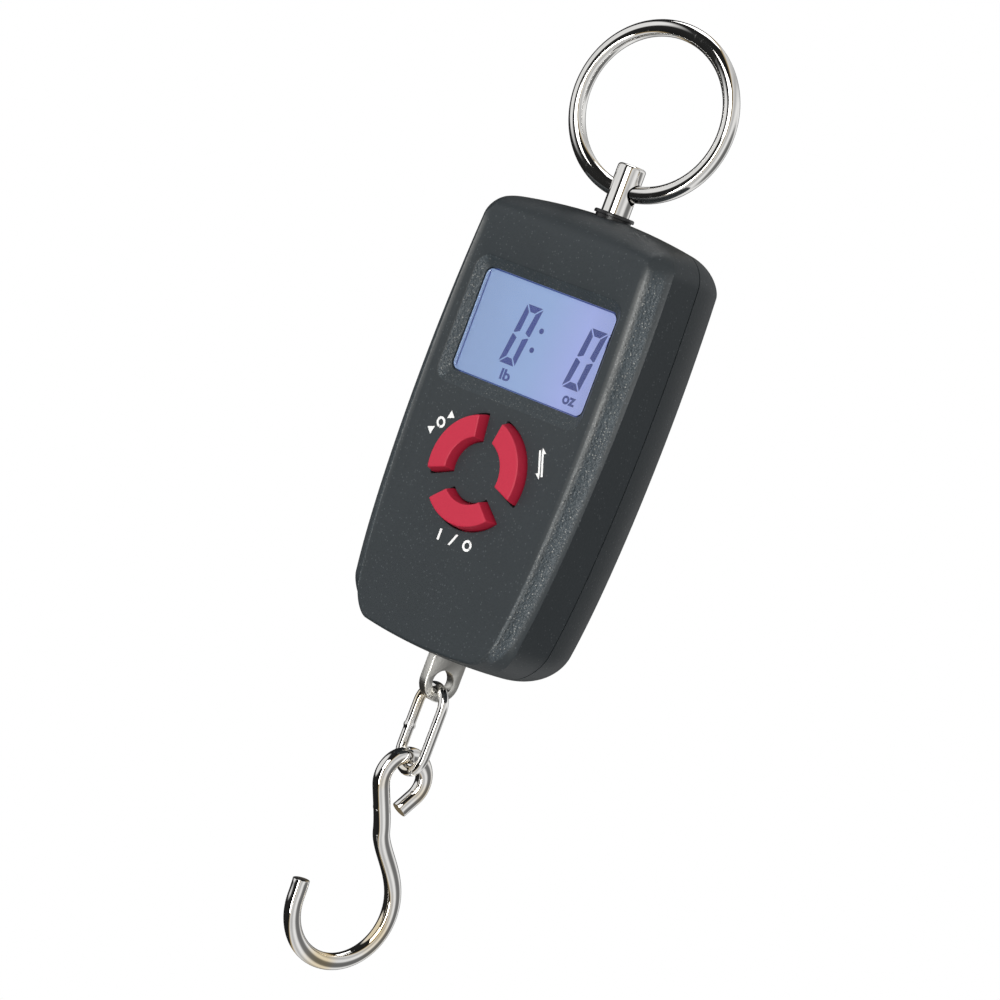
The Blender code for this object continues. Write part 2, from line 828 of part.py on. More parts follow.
def washer_and_nut(prefix, arm_inner, direction, turn):
    """A washer and a nut stacked away from an arm's inner face. direction is +1 up or -1 down."""
    first = arm_inner + direction * GAP
    second = first + direction * WASHER_H
    low, high = min(first, second), max(first, second)
    bore = SHANK_D / 2 + PASS
    rim = NUT_FLATS / 2 + 0.3
    ring_solid(
        prefix + "_washer",
        [(bore, low), (rim, low), (rim, high), (bore, high)],
        (0, 0, 0),
        steel(prefix + "_washer"),
        steps=24,
    )
    third = second + direction * GAP
    fourth = third + direction * NUT_H
    low, high = min(third, fourth), max(third, fourth)
    corner = NUT_FLATS / math.sqrt(3)
    outer = []
    for i in range(24):
        angle = 2 * math.pi * i / 24
        local = (angle % (math.pi / 3)) - math.pi / 6
        outer.append(corner * math.cos(math.pi / 6) / math.cos(local))
    sections = []
    for radius_of, z in ((bore, low), (0, low), (0, high), (bore, high)):
        section = []
        for i in range(24):
            angle = 2 * math.pi * i / 24 + math.radians(turn)
            radius = radius_of or outer[i]
            section.append((radius * math.cos(angle), radius * math.sin(angle), z))
        sections.append(section)
    verts, faces = loft(sections, closed=True)
    new_object(prefix + "_nut", verts, faces, steel(prefix + "_nut"))


def top_bush():
    bore = POST_D / 2 + PASS
    seat = CASE_TOP + 0.35
    roof = CASE_TOP - WALL - 2.4
    profile = [
        (bore, roof - 1.0),
        (BUSH_LIP_D / 2, roof - 1.0),
        (BUSH_LIP_D / 2, roof),
        (BUSH_NECK_D / 2, roof),
        (BUSH_NECK_D / 2, seat),
        (BUSH_D / 2, seat),
        (BUSH_D / 2, seat + BUSH_RISE - 0.25),
        (BUSH_D / 2 - 0.25, seat + BUSH_RISE),
        (bore, seat + BUSH_RISE),
    ]
    ring_solid("top_bush", profile, (0, 0, 0), dark_plastic("top_bush"), steps=32)


# ---- display and board ----


def lcd_window():
    lens = window_outline(-PASS / 2)
    slab("lcd_window", lens, LENS_Y, LENS_Y + LENS_T, clear_plastic("lcd_window"))


def lcd_glass():
    w = LCD_W / 2 + GLASS_MARGIN
    h = LCD_H / 2 + GLASS_MARGIN
    plate = rectangle(-w, w, LCD_Z - h, LCD_Z + h)
    slab("lcd_glass", plate, GLASS_Y0, GLASS_Y1, clear_plastic("lcd_glass"))


def lcd_backlight():
    w = LCD_W / 2 + 0.8
    low = LCD_Z - LCD_H / 2 + STRIP_H + GAP
    high = LCD_Z + LCD_H / 2 + 0.8
    plate = rectangle(-w, w, low, high)
    guide = slab("lcd_backlight", plate, BACKLIGHT_Y0, BACKLIGHT_Y1, clear_plastic("lcd_backlight"))
    stub = rectangle(w - 0.5, w + 1.6, LCD_Z - 4, LCD_Z + 4)
    join(guide, slab("tool", stub, BACKLIGHT_Y0, BACKLIGHT_Y1, None))


def lcd_strip():
    low = LCD_Z - LCD_H / 2 - GLASS_MARGIN + GAP
    plate = rectangle(-LCD_W / 2 + 2, LCD_W / 2 - 2, low, low + STRIP_H)
    slab("lcd_strip", plate, BACKLIGHT_Y0, BACKLIGHT_Y1, rubber("lcd_strip"))


def circuit_board():
    w = BOARD_W / 2
    board = soft_rectangle(-w, w, BOARD_BOTTOM, BOARD_TOP, 1.5)
    plate = slab("circuit_board", board, BOARD_Y0, BOARD_Y1, board_green("circuit_board"))
    for side in (-1, 1):
        x = side * BOARD_SCREW_X
        notch = circle(x, BOARD_SCREW_Z, BOARD_SCREW_D / 2 + PASS, 12)
        cut(plate, slab("tool", notch, BOARD_Y0 - 1, BOARD_Y1 + 1, None))
        edge = rectangle(x, x + side * 4, BOARD_SCREW_Z - 0.6, BOARD_SCREW_Z + 0.6)
        if side < 0:
            edge = rectangle(x - 4, x, BOARD_SCREW_Z - 0.6, BOARD_SCREW_Z + 0.6)
        cut(plate, slab("tool", edge, BOARD_Y0 - 1, BOARD_Y1 + 1, None))


def board_screws():
    for number, side in enumerate((-1, 1), 1):
        x = side * BOARD_SCREW_X
        head = BOARD_Y1 + GAP
        profile = [
            (BOARD_SCREW_D / 2 - 0.3, BOARD_Y0 - 3.2),
            (BOARD_SCREW_D / 2, BOARD_Y0 - 2.8),
            (BOARD_SCREW_D / 2, head),
            (BOARD_SCREW_D, head),
            (BOARD_SCREW_D, head + 0.6),
            (BOARD_SCREW_D - 0.4, head + 1.0),
        ]
        name = f"board_screw_{number}"
        place = (x, 0, BOARD_SCREW_Z)
        turned_solid(name, profile, place, steel(name), "Y", 16, place)


def key_middle(direction):
    radius = (KEY_R_OUT + KEY_R_IN) / 2
    angle = math.radians(direction)
    return radius * math.cos(angle), KEY_Z + radius * math.sin(angle)


def key_switches():
    for number, (_, direction) in enumerate(KEYS, 1):
        x, z = key_middle(direction)
        half = SWITCH_SIDE / 2
        base = BOARD_Y0 - GAP
        body = soft_rectangle(x - half, x + half, z - half, z + half, 0.4, 2)
        name = f"key_switch_{number}"
        made = slab(name, body, base - SWITCH_H, base, dark_plastic(name))
        plunger = circle(x, z, PLUNGER_D / 2, 16)
        join(made, slab("tool", plunger, base - SWITCH_H - 0.8, base - SWITCH_H + 0.4, None))


def keys():
    """Each key: a flange behind the face, a stem through it and a drafted crown with a soft edge."""
    back = INNER_FACE_Y + GAP + KEY_FLANGE_T
    seat = INNER_FACE_Y + GAP
    crown = FACE_Y - KEY_RISE
    for name, direction in KEYS:
        steps = (
            (KEY_FLANGE, back),
            (KEY_FLANGE, seat),
            (0.0, seat - 0.05),
            (0.0, FACE_Y),
            (-KEY_DRAFT, crown + 0.25),
            (-KEY_DRAFT - 0.08, crown + 0.08),
            (-KEY_DRAFT - 0.25, crown),
        )
        sections = [along_y(key_outline(direction, out), y) for out, y in steps]
        verts, faces = loft(sections)
        x, z = key_middle(direction)
        new_object(name, verts, faces, key_plastic(name), (x, FACE_Y, z))


def chip():
    x = -BOARD_W / 2 + 7.0
    place = (x, BOARD_Y1 + GAP, KEY_Z + 15.0)
    profile = [(CHIP_D / 2, 0.0), (CHIP_D / 2 - 0.5, CHIP_H * 0.7), (CHIP_D / 2 - 1.6, CHIP_H)]
    turned_solid("converter_chip", profile, place, dark_plastic("converter_chip"), "Y", 24)


# ---- load train inside the case ----


def load_beam():
    """A C-shaped beam: arms on the load axis and a necked spine beside it that bends."""
    x0 = -ARM_REACH
    x1 = SPINE_X0 + SPINE_W
    neck0 = SPINE_X0 + (SPINE_W - SPINE_NECK) / 2
    neck1 = neck0 + SPINE_NECK
    top = ARM_TOP_Z
    low = ARM_LOW_Z
    middle = (top + low) / 2
    under_top = top - ARM_H
    over_low = low + ARM_H
    outline = [
        (x0, top),
        (x0, under_top),
        (SPINE_X0, under_top),
        (SPINE_X0, middle + 9),
        (neck0, middle + 7),
        (neck0, middle - 7),
        (SPINE_X0, middle - 9),
        (SPINE_X0, over_low),
        (x0, over_low),
        (x0, low),
        (x1, low),
        (x1, middle - 9),
        (neck1, middle - 7),
        (neck1, middle + 7),
        (x1, middle + 9),
        (x1, top),
    ]
    beam = slab("load_beam", rounded(outline, 1.2, 3), BEAM_Y0, BEAM_Y1, steel("load_beam"))
    bore = [(SHANK_D / 2 + PASS + 0.1, low - 1), (SHANK_D / 2 + PASS + 0.1, top + 1)]
    cut(beam, turned_solid("tool", bore, (0, 0, 0), None, steps=24))
    for x, z in beam_screw_places():
        cut_round(beam, x, z, BEAM_SCREW_D / 2 + PASS, BEAM_Y0 - 1, BEAM_Y1 + 1, 16)
        cut_round(beam, x, z, BEAM_SCREW_D * 0.9 + PASS, BEAM_Y0 - 1, BEAM_Y0 + 1.8, 20)


def beam_screws():
    for number, (x, z) in enumerate(beam_screw_places(), 1):
        head = BEAM_Y0 + 1.8 - GAP
        profile = [
            (BEAM_SCREW_D * 0.9, BEAM_Y0 + 0.2),
            (BEAM_SCREW_D * 0.9, head),
            (BEAM_SCREW_D / 2, head),
            (BEAM_SCREW_D / 2, BEAM_Y1 + 3.4),
            (BEAM_SCREW_D / 2 - 0.4, BEAM_Y1 + 4.0),
        ]
        name = f"beam_screw_{number}"
        turned_solid(name, profile, (x, 0, z), steel(name), "Y", 16, (x, 0, z))


def strain_gauges():
    middle = (ARM_TOP_Z + ARM_LOW_Z) / 2
    neck0 = SPINE_X0 + (SPINE_W - SPINE_NECK) / 2
    places = (neck0 - GAP - GAUGE_T, neck0 + SPINE_NECK + GAP)
    for number, x in enumerate(places, 1):
        name = f"strain_gauge_{number}"
        plate = rectangle(x, x + GAUGE_T, middle - 5, middle + 5)
        slab(name, plate, -2.6, 1.6, rubber(name))


def cells():
    y0 = CUP_Y0 + CUP_FLOOR + 2 * GAP + CONTACT_T
    for number, z in enumerate(cell_heights(), 1):
        radius = CELL_D / 2
        profile = [
            (radius - 1.6, 0.0),
            (radius - 1.2, 0.4),
            (radius - 0.3, 0.5),
            (radius, 0.9),
            (radius, CELL_T - 0.3),
            (radius - 0.3, CELL_T),
        ]
        name = f"coin_cell_{number}"
        turned_solid(name, profile, (0, y0, z), steel(name), "Y", 36)
        y = CUP_Y0 + CUP_FLOOR + GAP
        contact = rectangle(-2.0, 2.0, z - 7.5, z + 7.5)
        blade = slab(f"cell_contact_{number}", contact, y, y + CONTACT_T, steel(f"cell_contact_{number}"))
        bar = rectangle(-6.0, 6.0, z - 1.5, z + 1.5)
        join(blade, slab("tool", bar, y, y + CONTACT_T, None))


# ---- tab, link and hook ----


TAB_EDGES = (
    (0.2, -TAB_T / 2),
    (0.0, 0.2 - TAB_T / 2),
    (0.0, TAB_T / 2 - 0.2),
    (0.2, TAB_T / 2),
)


def hook_tab():
    """A swivel stud whose outer end is flattened to a tab with the link's hole."""
    shoulder = CASE_BOTTOM + TAB_SHOULDER
    outline = [(-TAB_W / 2 + 0.2, shoulder), (-TAB_W / 2, shoulder - 1.0)]
    for k in range(17):
        angle = math.pi * (1 + k / 16)
        outline.append((TAB_W / 2 * math.cos(angle), TAB_HOLE_Z + TAB_W / 2 * math.sin(angle)))
    outline += [(TAB_W / 2, shoulder - 1.0), (TAB_W / 2 - 0.2, shoulder)]
    sections = []
    for inset, x in TAB_EDGES:
        share = 1 - inset / (TAB_W / 2)
        section = [(x, y * share, TAB_HOLE_Z + (z - TAB_HOLE_Z) * share) for y, z in outline]
        sections.append(turn_about_z(section, TAB_TURN))
    verts, faces = loft(sections)
    tab = new_object("hook_tab", verts, faces, steel("hook_tab"), (0, 0, TAB_HOLE_Z))
    end = shank_end(ARM_LOW_Z + ARM_H, 1)
    shank = [(SHANK_D / 2, shoulder - 1.5), (SHANK_D / 2, end - 0.5), (SHANK_D / 2 - 0.4, end)]
    join(tab, turned_solid("tool", shank, (0, 0, 0), None, steps=24))
    collar = [(3.0, shoulder - 0.4), (3.0, shoulder + 1.2)]
    join(tab, turned_solid("tool", collar, (0, 0, 0), None, steps=24))
    bore = turn_about_z([(-TAB_T, 0, TAB_HOLE_Z), (TAB_T, 0, TAB_HOLE_Z)], TAB_TURN)
    cut(tab, tube("tool", bore, TAB_HOLE_D / 2, None, False, 28))


def chain_link():
    """A welded oval link in the plane of the tab's normal and the load axis."""
    radius = LINK_W / 2
    straight = (LINK_LEN - 2 * radius) / 2
    middle = (LINK_TOP_Z + LINK_LOW_Z) / 2
    path = []
    for centre, first in ((middle + straight, 0), (middle - straight, math.pi)):
        for k in range(13):
            angle = first + math.pi * k / 12
            path.append((radius * math.cos(angle), 0, centre + radius * math.sin(angle)))
    path = turn_about_z(path, TAB_TURN)
    origin = (0, 0, LINK_TOP_Z)
    tube("chain_link", path, LINK_WIRE / 2, chrome("chain_link"), True, 12, origin)


def bezier(start, first, second, end, steps):
    points = []
    for k in range(steps + 1):
        t = k / steps
        s = 1 - t
        point = Vector(start) * s**3 + Vector(first) * (3 * s * s * t)
        point += Vector(second) * (3 * s * t * t) + Vector(end) * t**3
        points.append(tuple(point))
    return points


def hook_path():
    """The hook's centre line as (toward the tip, height): eye, neck, bend and tip."""
    path = []
    first = math.radians(180 + EYE_END_TURN)
    last = math.radians(-EYE_LEAVE)
    steps = 22
    for k in range(steps + 1):
        angle = first + (last - first) * k / steps
        path.append((EYE_R * math.cos(angle), EYE_Z + EYE_R * math.sin(angle)))
    end = (
        path[0][0] + EYE_END_LEN * math.sin(math.radians(EYE_END_TURN)),
        path[0][1] - EYE_END_LEN * math.cos(math.radians(EYE_END_TURN)),
    )
    path.insert(0, end)
    leave = (-math.sin(-last), -math.cos(last))
    lean = (-math.sin(math.radians(NECK_LEAN)), -math.cos(math.radians(NECK_LEAN)))
    start = path[-1]
    neck = (NECK_OFFSET, EYE_Z - NECK_DROP)
    handle = NECK_DROP * 0.28
    before = (start[0] + handle * leave[0], start[1] + handle * leave[1])
    after = (neck[0] - handle * lean[0], neck[1] - handle * lean[1])
    path += bezier(start, before, after, neck, 7)[1:]
    bend = (BEND_OFFSET - BEND_R, EYE_Z - BEND_DROP)
    drop = neck[1] - bend[1]
    before = (neck[0] + 0.28 * drop * lean[0], neck[1] + 0.28 * drop * lean[1])
    path += bezier(neck, before, (bend[0], bend[1] + 0.5 * drop), bend, 12)[1:]
    for k in range(1, 25):
        angle = math.pi * (1 + k / 24)
        path.append((BEND_OFFSET + BEND_R * math.cos(angle), bend[1] + BEND_R * math.sin(angle)))
    for k in (1, 2):
        share = k / 2
        rise = bend[1] + TIP_RISE * share
        path.append((BEND_OFFSET + BEND_R + TIP_OPEN * share**2, rise))
    return path


def hook():
    """The hook lies in the plane of the load axis that is square to the tab's normal."""
    path = [(0, -s, z) for s, z in hook_path()]
    path = turn_about_z(path, TAB_TURN)
    origin = (0, 0, LINK_LOW_Z)
    tube("hook", path, HOOK_WIRE / 2, chrome("hook"), False, 14, origin)


def main():
    for old in list(bpy.data.objects):
        bpy.data.objects.remove(old)
    hanging_ring()
    top_post()
    washer_and_nut("post", ARM_TOP_Z - ARM_H, -1, 10)
    top_bush()
    front_case()
    rear_case()
    battery_door()
    case_screws()
    lcd_window()
    lcd_glass()
    lcd_backlight()
    lcd_strip()
    circuit_board()
    board_screws()
    key_switches()
    keys()
    chip()
    load_beam()
    beam_screws()
    strain_gauges()
    cells()
    hook_tab()
    washer_and_nut("tab", ARM_LOW_Z + ARM_H, 1, -15)
    chain_link()
    hook()


main()
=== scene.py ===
"""Finished look of a hanging digital fish scale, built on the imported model's frame."""

import json
import math

import bmesh
import bpy
from mathutils import Matrix, Vector

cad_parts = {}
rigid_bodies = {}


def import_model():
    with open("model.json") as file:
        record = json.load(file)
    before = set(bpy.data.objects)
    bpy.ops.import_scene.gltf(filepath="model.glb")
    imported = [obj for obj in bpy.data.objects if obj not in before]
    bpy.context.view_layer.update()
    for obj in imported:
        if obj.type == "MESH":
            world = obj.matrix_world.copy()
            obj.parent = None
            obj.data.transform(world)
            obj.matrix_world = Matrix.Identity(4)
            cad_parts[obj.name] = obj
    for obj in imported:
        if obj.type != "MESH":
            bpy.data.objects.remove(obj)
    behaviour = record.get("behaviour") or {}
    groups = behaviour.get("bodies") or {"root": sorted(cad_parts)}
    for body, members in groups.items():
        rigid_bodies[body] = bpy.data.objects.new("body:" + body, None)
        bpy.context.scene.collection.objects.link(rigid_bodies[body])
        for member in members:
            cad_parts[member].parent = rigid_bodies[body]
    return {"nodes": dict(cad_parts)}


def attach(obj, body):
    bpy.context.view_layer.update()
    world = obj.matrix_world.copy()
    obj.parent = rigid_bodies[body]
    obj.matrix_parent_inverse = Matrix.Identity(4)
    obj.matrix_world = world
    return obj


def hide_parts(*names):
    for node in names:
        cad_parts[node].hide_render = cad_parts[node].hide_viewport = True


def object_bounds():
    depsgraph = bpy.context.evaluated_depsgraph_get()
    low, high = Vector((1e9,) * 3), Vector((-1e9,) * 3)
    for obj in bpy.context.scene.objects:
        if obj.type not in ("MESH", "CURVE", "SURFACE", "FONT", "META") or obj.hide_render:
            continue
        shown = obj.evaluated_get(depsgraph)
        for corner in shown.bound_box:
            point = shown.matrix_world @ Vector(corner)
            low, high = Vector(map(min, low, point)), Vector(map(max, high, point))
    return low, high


bl_info = {
    "name": "Hanging Fish Scale",
    "version": (1, 0, 0),
    "blender": (4, 5, 0),
    "location": "3D View > Sidebar > Fish Scale",
    "description": "Builds the shells, keys, display, wire parts and finishes of a hanging scale",
    "category": "Object",
}

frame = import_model()
NODES = frame["nodes"]
CAD_LOW, CAD_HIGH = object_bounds()
MM = 0.001

# Sizes in millimetres, the same as the model's own
RING_R = 18.2
RING_WIRE = 3.74
RING_TURN = 10.0
POST_D = 6.3
POST_HOLE_D = 4.5
POST_CROWN = 5.8
HOLE_RISE = 6.3
CASE_W = 57.6
CASE_H = 100.6
FRONT_DEPTH = 12.8
REAR_DEPTH = 10.4
WALL = 2.0
GAP = 0.3
SIDE_RADIUS = 480.0
SIDE_WIDEST_DROP = 37.7
TOP_RADIUS = 145.0
BOTTOM_RADIUS = 135.0
TOP_CORNER = 5.4
SIDE_TUCK = 0.4
BOTTOM_CORNER = 7.6
TOP_ROLL = 7.8
TOP_ROLL_CORNER = 4.9
BOTTOM_CROWN = 1.0
EDGE_ROUND = 0.7
LIP_INSET = 0.8
LIP_DEPTH_TOP = 8.4
LIP_DEPTH_BOTTOM = 10.1
PLATEAU_INSET = 4.5
SCOOP_SAG_TOP = 0.4
SCOOP_SAG_BOTTOM = 0.95
REAR_INSET = 3.4
REAR_ROLL = 5.5
LCD_W = 37.7
LCD_H = 23.2
LCD_CORNER = 1.8
DISH_DEPTH = 1.9
DISH_SIDE = 1.65
DISH_TOP = 2.2
DISH_BOTTOM = 3.05
DISH_CORNER = 3.0
PAD_T = 1.6
KEY_R_OUT = 12.55
KEY_R_IN = 6.9
KEY_GAP_OUT = 2.9
KEY_GAP_IN = 2.0
KEY_RISE = 2.4
KEY_DRAFT = 0.42
KEY_CORNER = 1.2
KEY_FLANGE = 0.9
DOOR_W = 26.0
DOOR_T = 1.4
TAB_TURN = -15.0
LINK_WIRE = 2.3
LINK_LEN = 19.25
LINK_W = 9.1
HOOK_WIRE = 3.75
EYE_R = 5.45
BEND_R = 12.6
BEND_OFFSET = 3.15
BEND_DROP = 30.1
NECK_DROP = 12.0
NECK_OFFSET = 0.5
NECK_LEAN = 17.5
EYE_LEAVE = 25.0
EYE_END_TURN = 35.0
EYE_END_LEN = 4.4
EDGE_SOFT = 0.6
DOOR_BOTTOM_RISE = 4.2
DOOR_TOP_RISE = 60.5
DOOR_FLOOR = 1.2
CELL_RISES = (17.5, 46.8)
BOARD_T = 1.2
BOARD_SCREW_X = 18.5
GLASS_T = 1.2
LIGHT_T = 1.0
ARM_DROP = 19.4
TAB_HOLE_DROP = 5.3
TAB_HOLE_D = 5.5
DIGIT_LOW = -77.7
DIGIT_HIGH = -64.0
SHARP_ANGLE = 35

HOLE_Z = -(2 * RING_R - RING_WIRE / 2)
CASE_TOP = HOLE_Z - HOLE_RISE
CASE_BOTTOM = CASE_TOP - CASE_H
LCD_Z = CASE_TOP - 30.2
KEY_Z = LCD_Z - 30.2
FACE_Y = -FRONT_DEPTH
INNER_FACE_Y = FACE_Y + WALL
LENS_Y = FACE_Y + DISH_DEPTH
PAD_Y = LENS_Y + PAD_T
GLASS_Y = PAD_Y + GAP
BOARD_Y = GLASS_Y + GLASS_T + GAP + LIGHT_T + GAP
BOARD_SCREW_Z = KEY_Z + 11.4
LINK_TOP_Z = CASE_BOTTOM - TAB_HOLE_DROP - TAB_HOLE_D / 2 + LINK_WIRE / 2 + GAP
LINK_LOW_Z = LINK_TOP_Z - LINK_LEN
EYE_Z = LINK_LOW_Z + LINK_WIRE / 2 + GAP + HOOK_WIRE / 2 - EYE_R
REAR_INNER_Y = REAR_DEPTH - DOOR_T - GAP - DOOR_FLOOR
KEYS = (
    ("tare_button", 150, "tare_key"),
    ("unit_button", 30, "unit_key"),
    ("power_button", 270, "power_key"),
)


# ---- settings a user may change ----


def colour_property(name, about, value):
    return bpy.props.FloatVectorProperty(
        name=name, description=about, default=value, subtype="COLOR", size=3, min=0, max=1
    )


class ScalePlastics(bpy.types.PropertyGroup):
    case: colour_property("Case", "Moulded case colour", (0.027, 0.0335, 0.038))
    keys: colour_property("Keys", "Key rubber colour", (0.52, 0.016, 0.049))
    print_white: colour_property("Print", "Colour of the printed signs", (0.95, 0.95, 0.94))
    bush: colour_property("Bush", "Top bush colour", (0.006, 0.006, 0.007))
    grain_size: bpy.props.FloatProperty(
        name="Grain size",
        description="Width of one grain of the moulded skin",
        default=0.0003,
        unit="LENGTH",
    )
    grip_size: bpy.props.FloatProperty(
        name="Grip texture size",
        description="Width of one grain of the coarse grip texture",
        default=0.00042,
        unit="LENGTH",
    )


class ScaleMetals(bpy.types.PropertyGroup):
    chrome: colour_property("Chrome", "Bright plated wire", (0.86, 0.85, 0.83))
    tint: colour_property("Tint", "Warm patches in the plating", (0.80, 0.66, 0.42))
    nickel: colour_property("Nickel", "Dull plated sheet", (0.74, 0.73, 0.69))
    tip_open: bpy.props.FloatProperty(
        name="Tip opening",
        description="How far the hook's tip leans out",
        default=0.0002,
        unit="LENGTH",
    )


class ScaleDisplay(bpy.types.PropertyGroup):
    left: colour_property("Left light", "Backlight at the left", (0.225, 0.325, 0.54))
    right: colour_property("Right light", "Backlight at the right", (0.32, 0.37, 0.70))
    digits: colour_property("Digits", "Dark segments", (0.012, 0.025, 0.18))
    slant: bpy.props.FloatProperty(
        name="Slant",
        description="Lean of the digits",
        default=math.radians(9),
        subtype="ANGLE",
    )


# ---- shapes ----


def case_outline(fine=3):
    """The case's widest outline, clockwise from the top, as (x, z, normal x, normal z)."""
    top_x = half_width(CASE_TOP - 3)
    low_x = half_width(CASE_BOTTOM + 3)
    top_corner = (top_x, top_z(top_x))
    low_corner = (low_x, bottom_z(low_x))
    side_top = top_corner[1] - TOP_CORNER
    side_low = low_corner[1] + BOTTOM_CORNER
    top_steps = 7 * fine
    half = []
    for k in range(top_steps + 1):
        x = (top_x - TOP_CORNER) * k / top_steps
        half.append((x, top_z(x)))
    half += corner_curve(half[-1], top_corner, (half_width(side_top), side_top), 6 * fine)
    for k in range(12 * fine + 1):
        z = side_top + (side_low - side_top) * k / (12 * fine)
        half.append((half_width(z), z))
    low_start = (low_x - BOTTOM_CORNER, bottom_z(low_x - BOTTOM_CORNER))
    half += corner_curve(half[-1], low_corner, low_start, 7 * fine)
    for k in range(top_steps + 1):
        x = low_start[0] * (1 - k / top_steps)
        half.append((x, bottom_z(x)))
    full = half + [(-x, z) for x, z in half[-2:0:-1]]
    result = []
    for i, (x, z) in enumerate(full):
        before = full[i - 1]
        after = full[(i + 1) % len(full)]
        tangent = Vector((after[0] - before[0], after[1] - before[1])).normalized()
        result.append((x, z, -tangent.y, tangent.x))
    return result


def half_width(z):
    drop = CASE_TOP - SIDE_WIDEST_DROP - z
    tuck = SIDE_TUCK * max(0.0, drop / (CASE_H / 2)) ** 6
    return CASE_W / 2 - (SIDE_RADIUS - math.sqrt(SIDE_RADIUS**2 - drop**2)) - tuck


def lip_depth(z):
    share = (CASE_TOP - z) / CASE_H
    return LIP_DEPTH_TOP + (LIP_DEPTH_BOTTOM - LIP_DEPTH_TOP) * share


def top_z(x):
    return CASE_TOP - (TOP_RADIUS - math.sqrt(TOP_RADIUS**2 - x**2))


def bottom_z(x):
    return CASE_BOTTOM + (BOTTOM_RADIUS - math.sqrt(BOTTOM_RADIUS**2 - x**2))


def corner_curve(start, corner, end, steps):
    points = []
    for k in range(1, steps):
        t = k / steps
        a = Vector(start).lerp(Vector(corner), 0.56)
        b = Vector(end).lerp(Vector(corner), 0.56)
        point = Vector(start) * (1 - t) ** 3 + a * (3 * t * (1 - t) ** 2)
        point += b * (3 * t**2 * (1 - t)) + Vector(end) * t**3
        points.append(tuple(point))
    return points


def case_section(outline, side, top, bottom):
    """One ring of points. Each of side, top and bottom gives (inset, y), and a corner blends them."""
    points = []
    for x, z, nx, nz in outline:
        inset_s, y_s = side(z) if callable(side) else side
        inset_v, y_v = top(x) if nz > 0 else bottom
        weight = nx * nx
        y = weight * y_s + (1 - weight) * y_v
        points.append((x - nx * inset_s, y, z - nz * inset_v))
    return points


def top_roll(inset_mid, inset_corner, depth, turn, extra):
    def at(x):
        share = math.cos(math.pi / 2 * min(1.0, abs(x) / (CASE_W / 2))) ** 2
        inset = inset_corner + (inset_mid - inset_corner) * share
        return inset * (1 - math.cos(turn)) + extra, depth * math.sin(turn)

    return at


def scoop_point(share, z):
    height = (z - CASE_BOTTOM) / CASE_H
    sag = SCOOP_SAG_BOTTOM + (SCOOP_SAG_TOP - SCOOP_SAG_BOTTOM) * height
    inward = sag * 4 * share * (1 - share) * math.sqrt(0.5)
    inset = LIP_INSET + (PLATEAU_INSET - LIP_INSET) * share + inward
    lip = lip_depth(z)
    return inset, -lip - (FRONT_DEPTH - lip) * share + inward


def front_side(u):
    """The front shell's side at height u, 0 at the parting line, 4 at the lip and 10 at the plateau."""

    def at(z):
        if u <= 2:
            return LIP_INSET * u / 3, -max(GAP / 2, lip_depth(z) * u / 3)
        if u <= 3:
            share = 2 / 3 + (0.95 - 2 / 3) * (u - 2)
            inset = LIP_INSET * 2 / 3 + (LIP_INSET / 3 - 0.05) * (u - 2)
            return inset, -lip_depth(z) * share
        if u <= 4:
            share = 0.95 + 0.05 * (u - 3)
            return LIP_INSET - 0.05 + 0.05 * (u - 3), -lip_depth(z) * share
        if u <= 9.4:
            return scoop_point((u - 4) / 6, z)
        start = Vector(scoop_point(0.9, z))
        corner = Vector((PLATEAU_INSET, -FRONT_DEPTH))
        end = Vector((PLATEAU_INSET + EDGE_SOFT, -FRONT_DEPTH))
        t = (min(u, 11.0) - 9.4) / 1.6
        soft = start * (1 - t) ** 2 + corner * (2 * t * (1 - t)) + end * t * t
        return soft.x + max(0.0, u - 11.0), soft.y

    return at


def front_sections(outline):
    rows = [0, 0.12, 0.35, 0.7, 1, 1.35, 1.7, 2, 2.3, 2.6, 2.85, 3, 3.4, 3.75, 3.92, 4, 4.08, 4.25]
    rows += [4.5, 4.8, 5.2, 5.6, 6, 6.4, 6.8, 7.2, 7.6, 8, 8.4, 8.8, 9.1, 9.4]
    rows += [9.6, 9.8, 10, 10.2, 10.4, 10.6, 10.8, 11.0, 12.0]
    crown = FRONT_DEPTH - EDGE_ROUND
    sections = []
    for u in rows:
        along = min(1.0, u / 10)
        turn = max(math.pi / 2 * along, math.asin(GAP / 2 / FRONT_DEPTH))
        extra = max(0.0, u - 10) * 0.6
        top = top_roll(TOP_ROLL, TOP_ROLL_CORNER, -FRONT_DEPTH, turn, extra)
        if u <= 8:
            bottom = (BOTTOM_CROWN * (u / 8) ** 2, -max(GAP / 2, crown * u / 8))
        else:
            edge = math.pi / 2 * min(1.0, (u - 8) / 2)
            bottom = (
                BOTTOM_CROWN + EDGE_ROUND * (1 - math.cos(edge)) + extra,
                -crown - EDGE_ROUND * math.sin(edge),
            )
        sections.append(case_section(outline, front_side(u), top, bottom))
    return sections


def rear_sections(outline):
    sections = []
    for k in range(25):
        turn = math.pi / 2 * k / 24
        depth = GAP / 2 + (REAR_DEPTH - GAP / 2) * math.sin(turn)
        amount = 1 - math.cos(turn)
        side = (REAR_INSET * amount**1.2, depth)
        high = (REAR_ROLL * amount, depth)
        sections.append(case_section(outline, side, lambda x, h=high: h, (REAR_INSET * amount, depth)))
    flat = (REAR_INSET + 1.0, REAR_DEPTH)
    high = (REAR_ROLL + 1.0, REAR_DEPTH)
    sections.append(case_section(outline, flat, lambda x, h=high: h, flat))
    return sections


def hollow_sections(outline, depths):
    sections = []
    for side, high, low, y in depths:
        sections.append(case_section(outline, (side, y), lambda x, h=high, d=y: (h, d), (low, y)))
    return sections


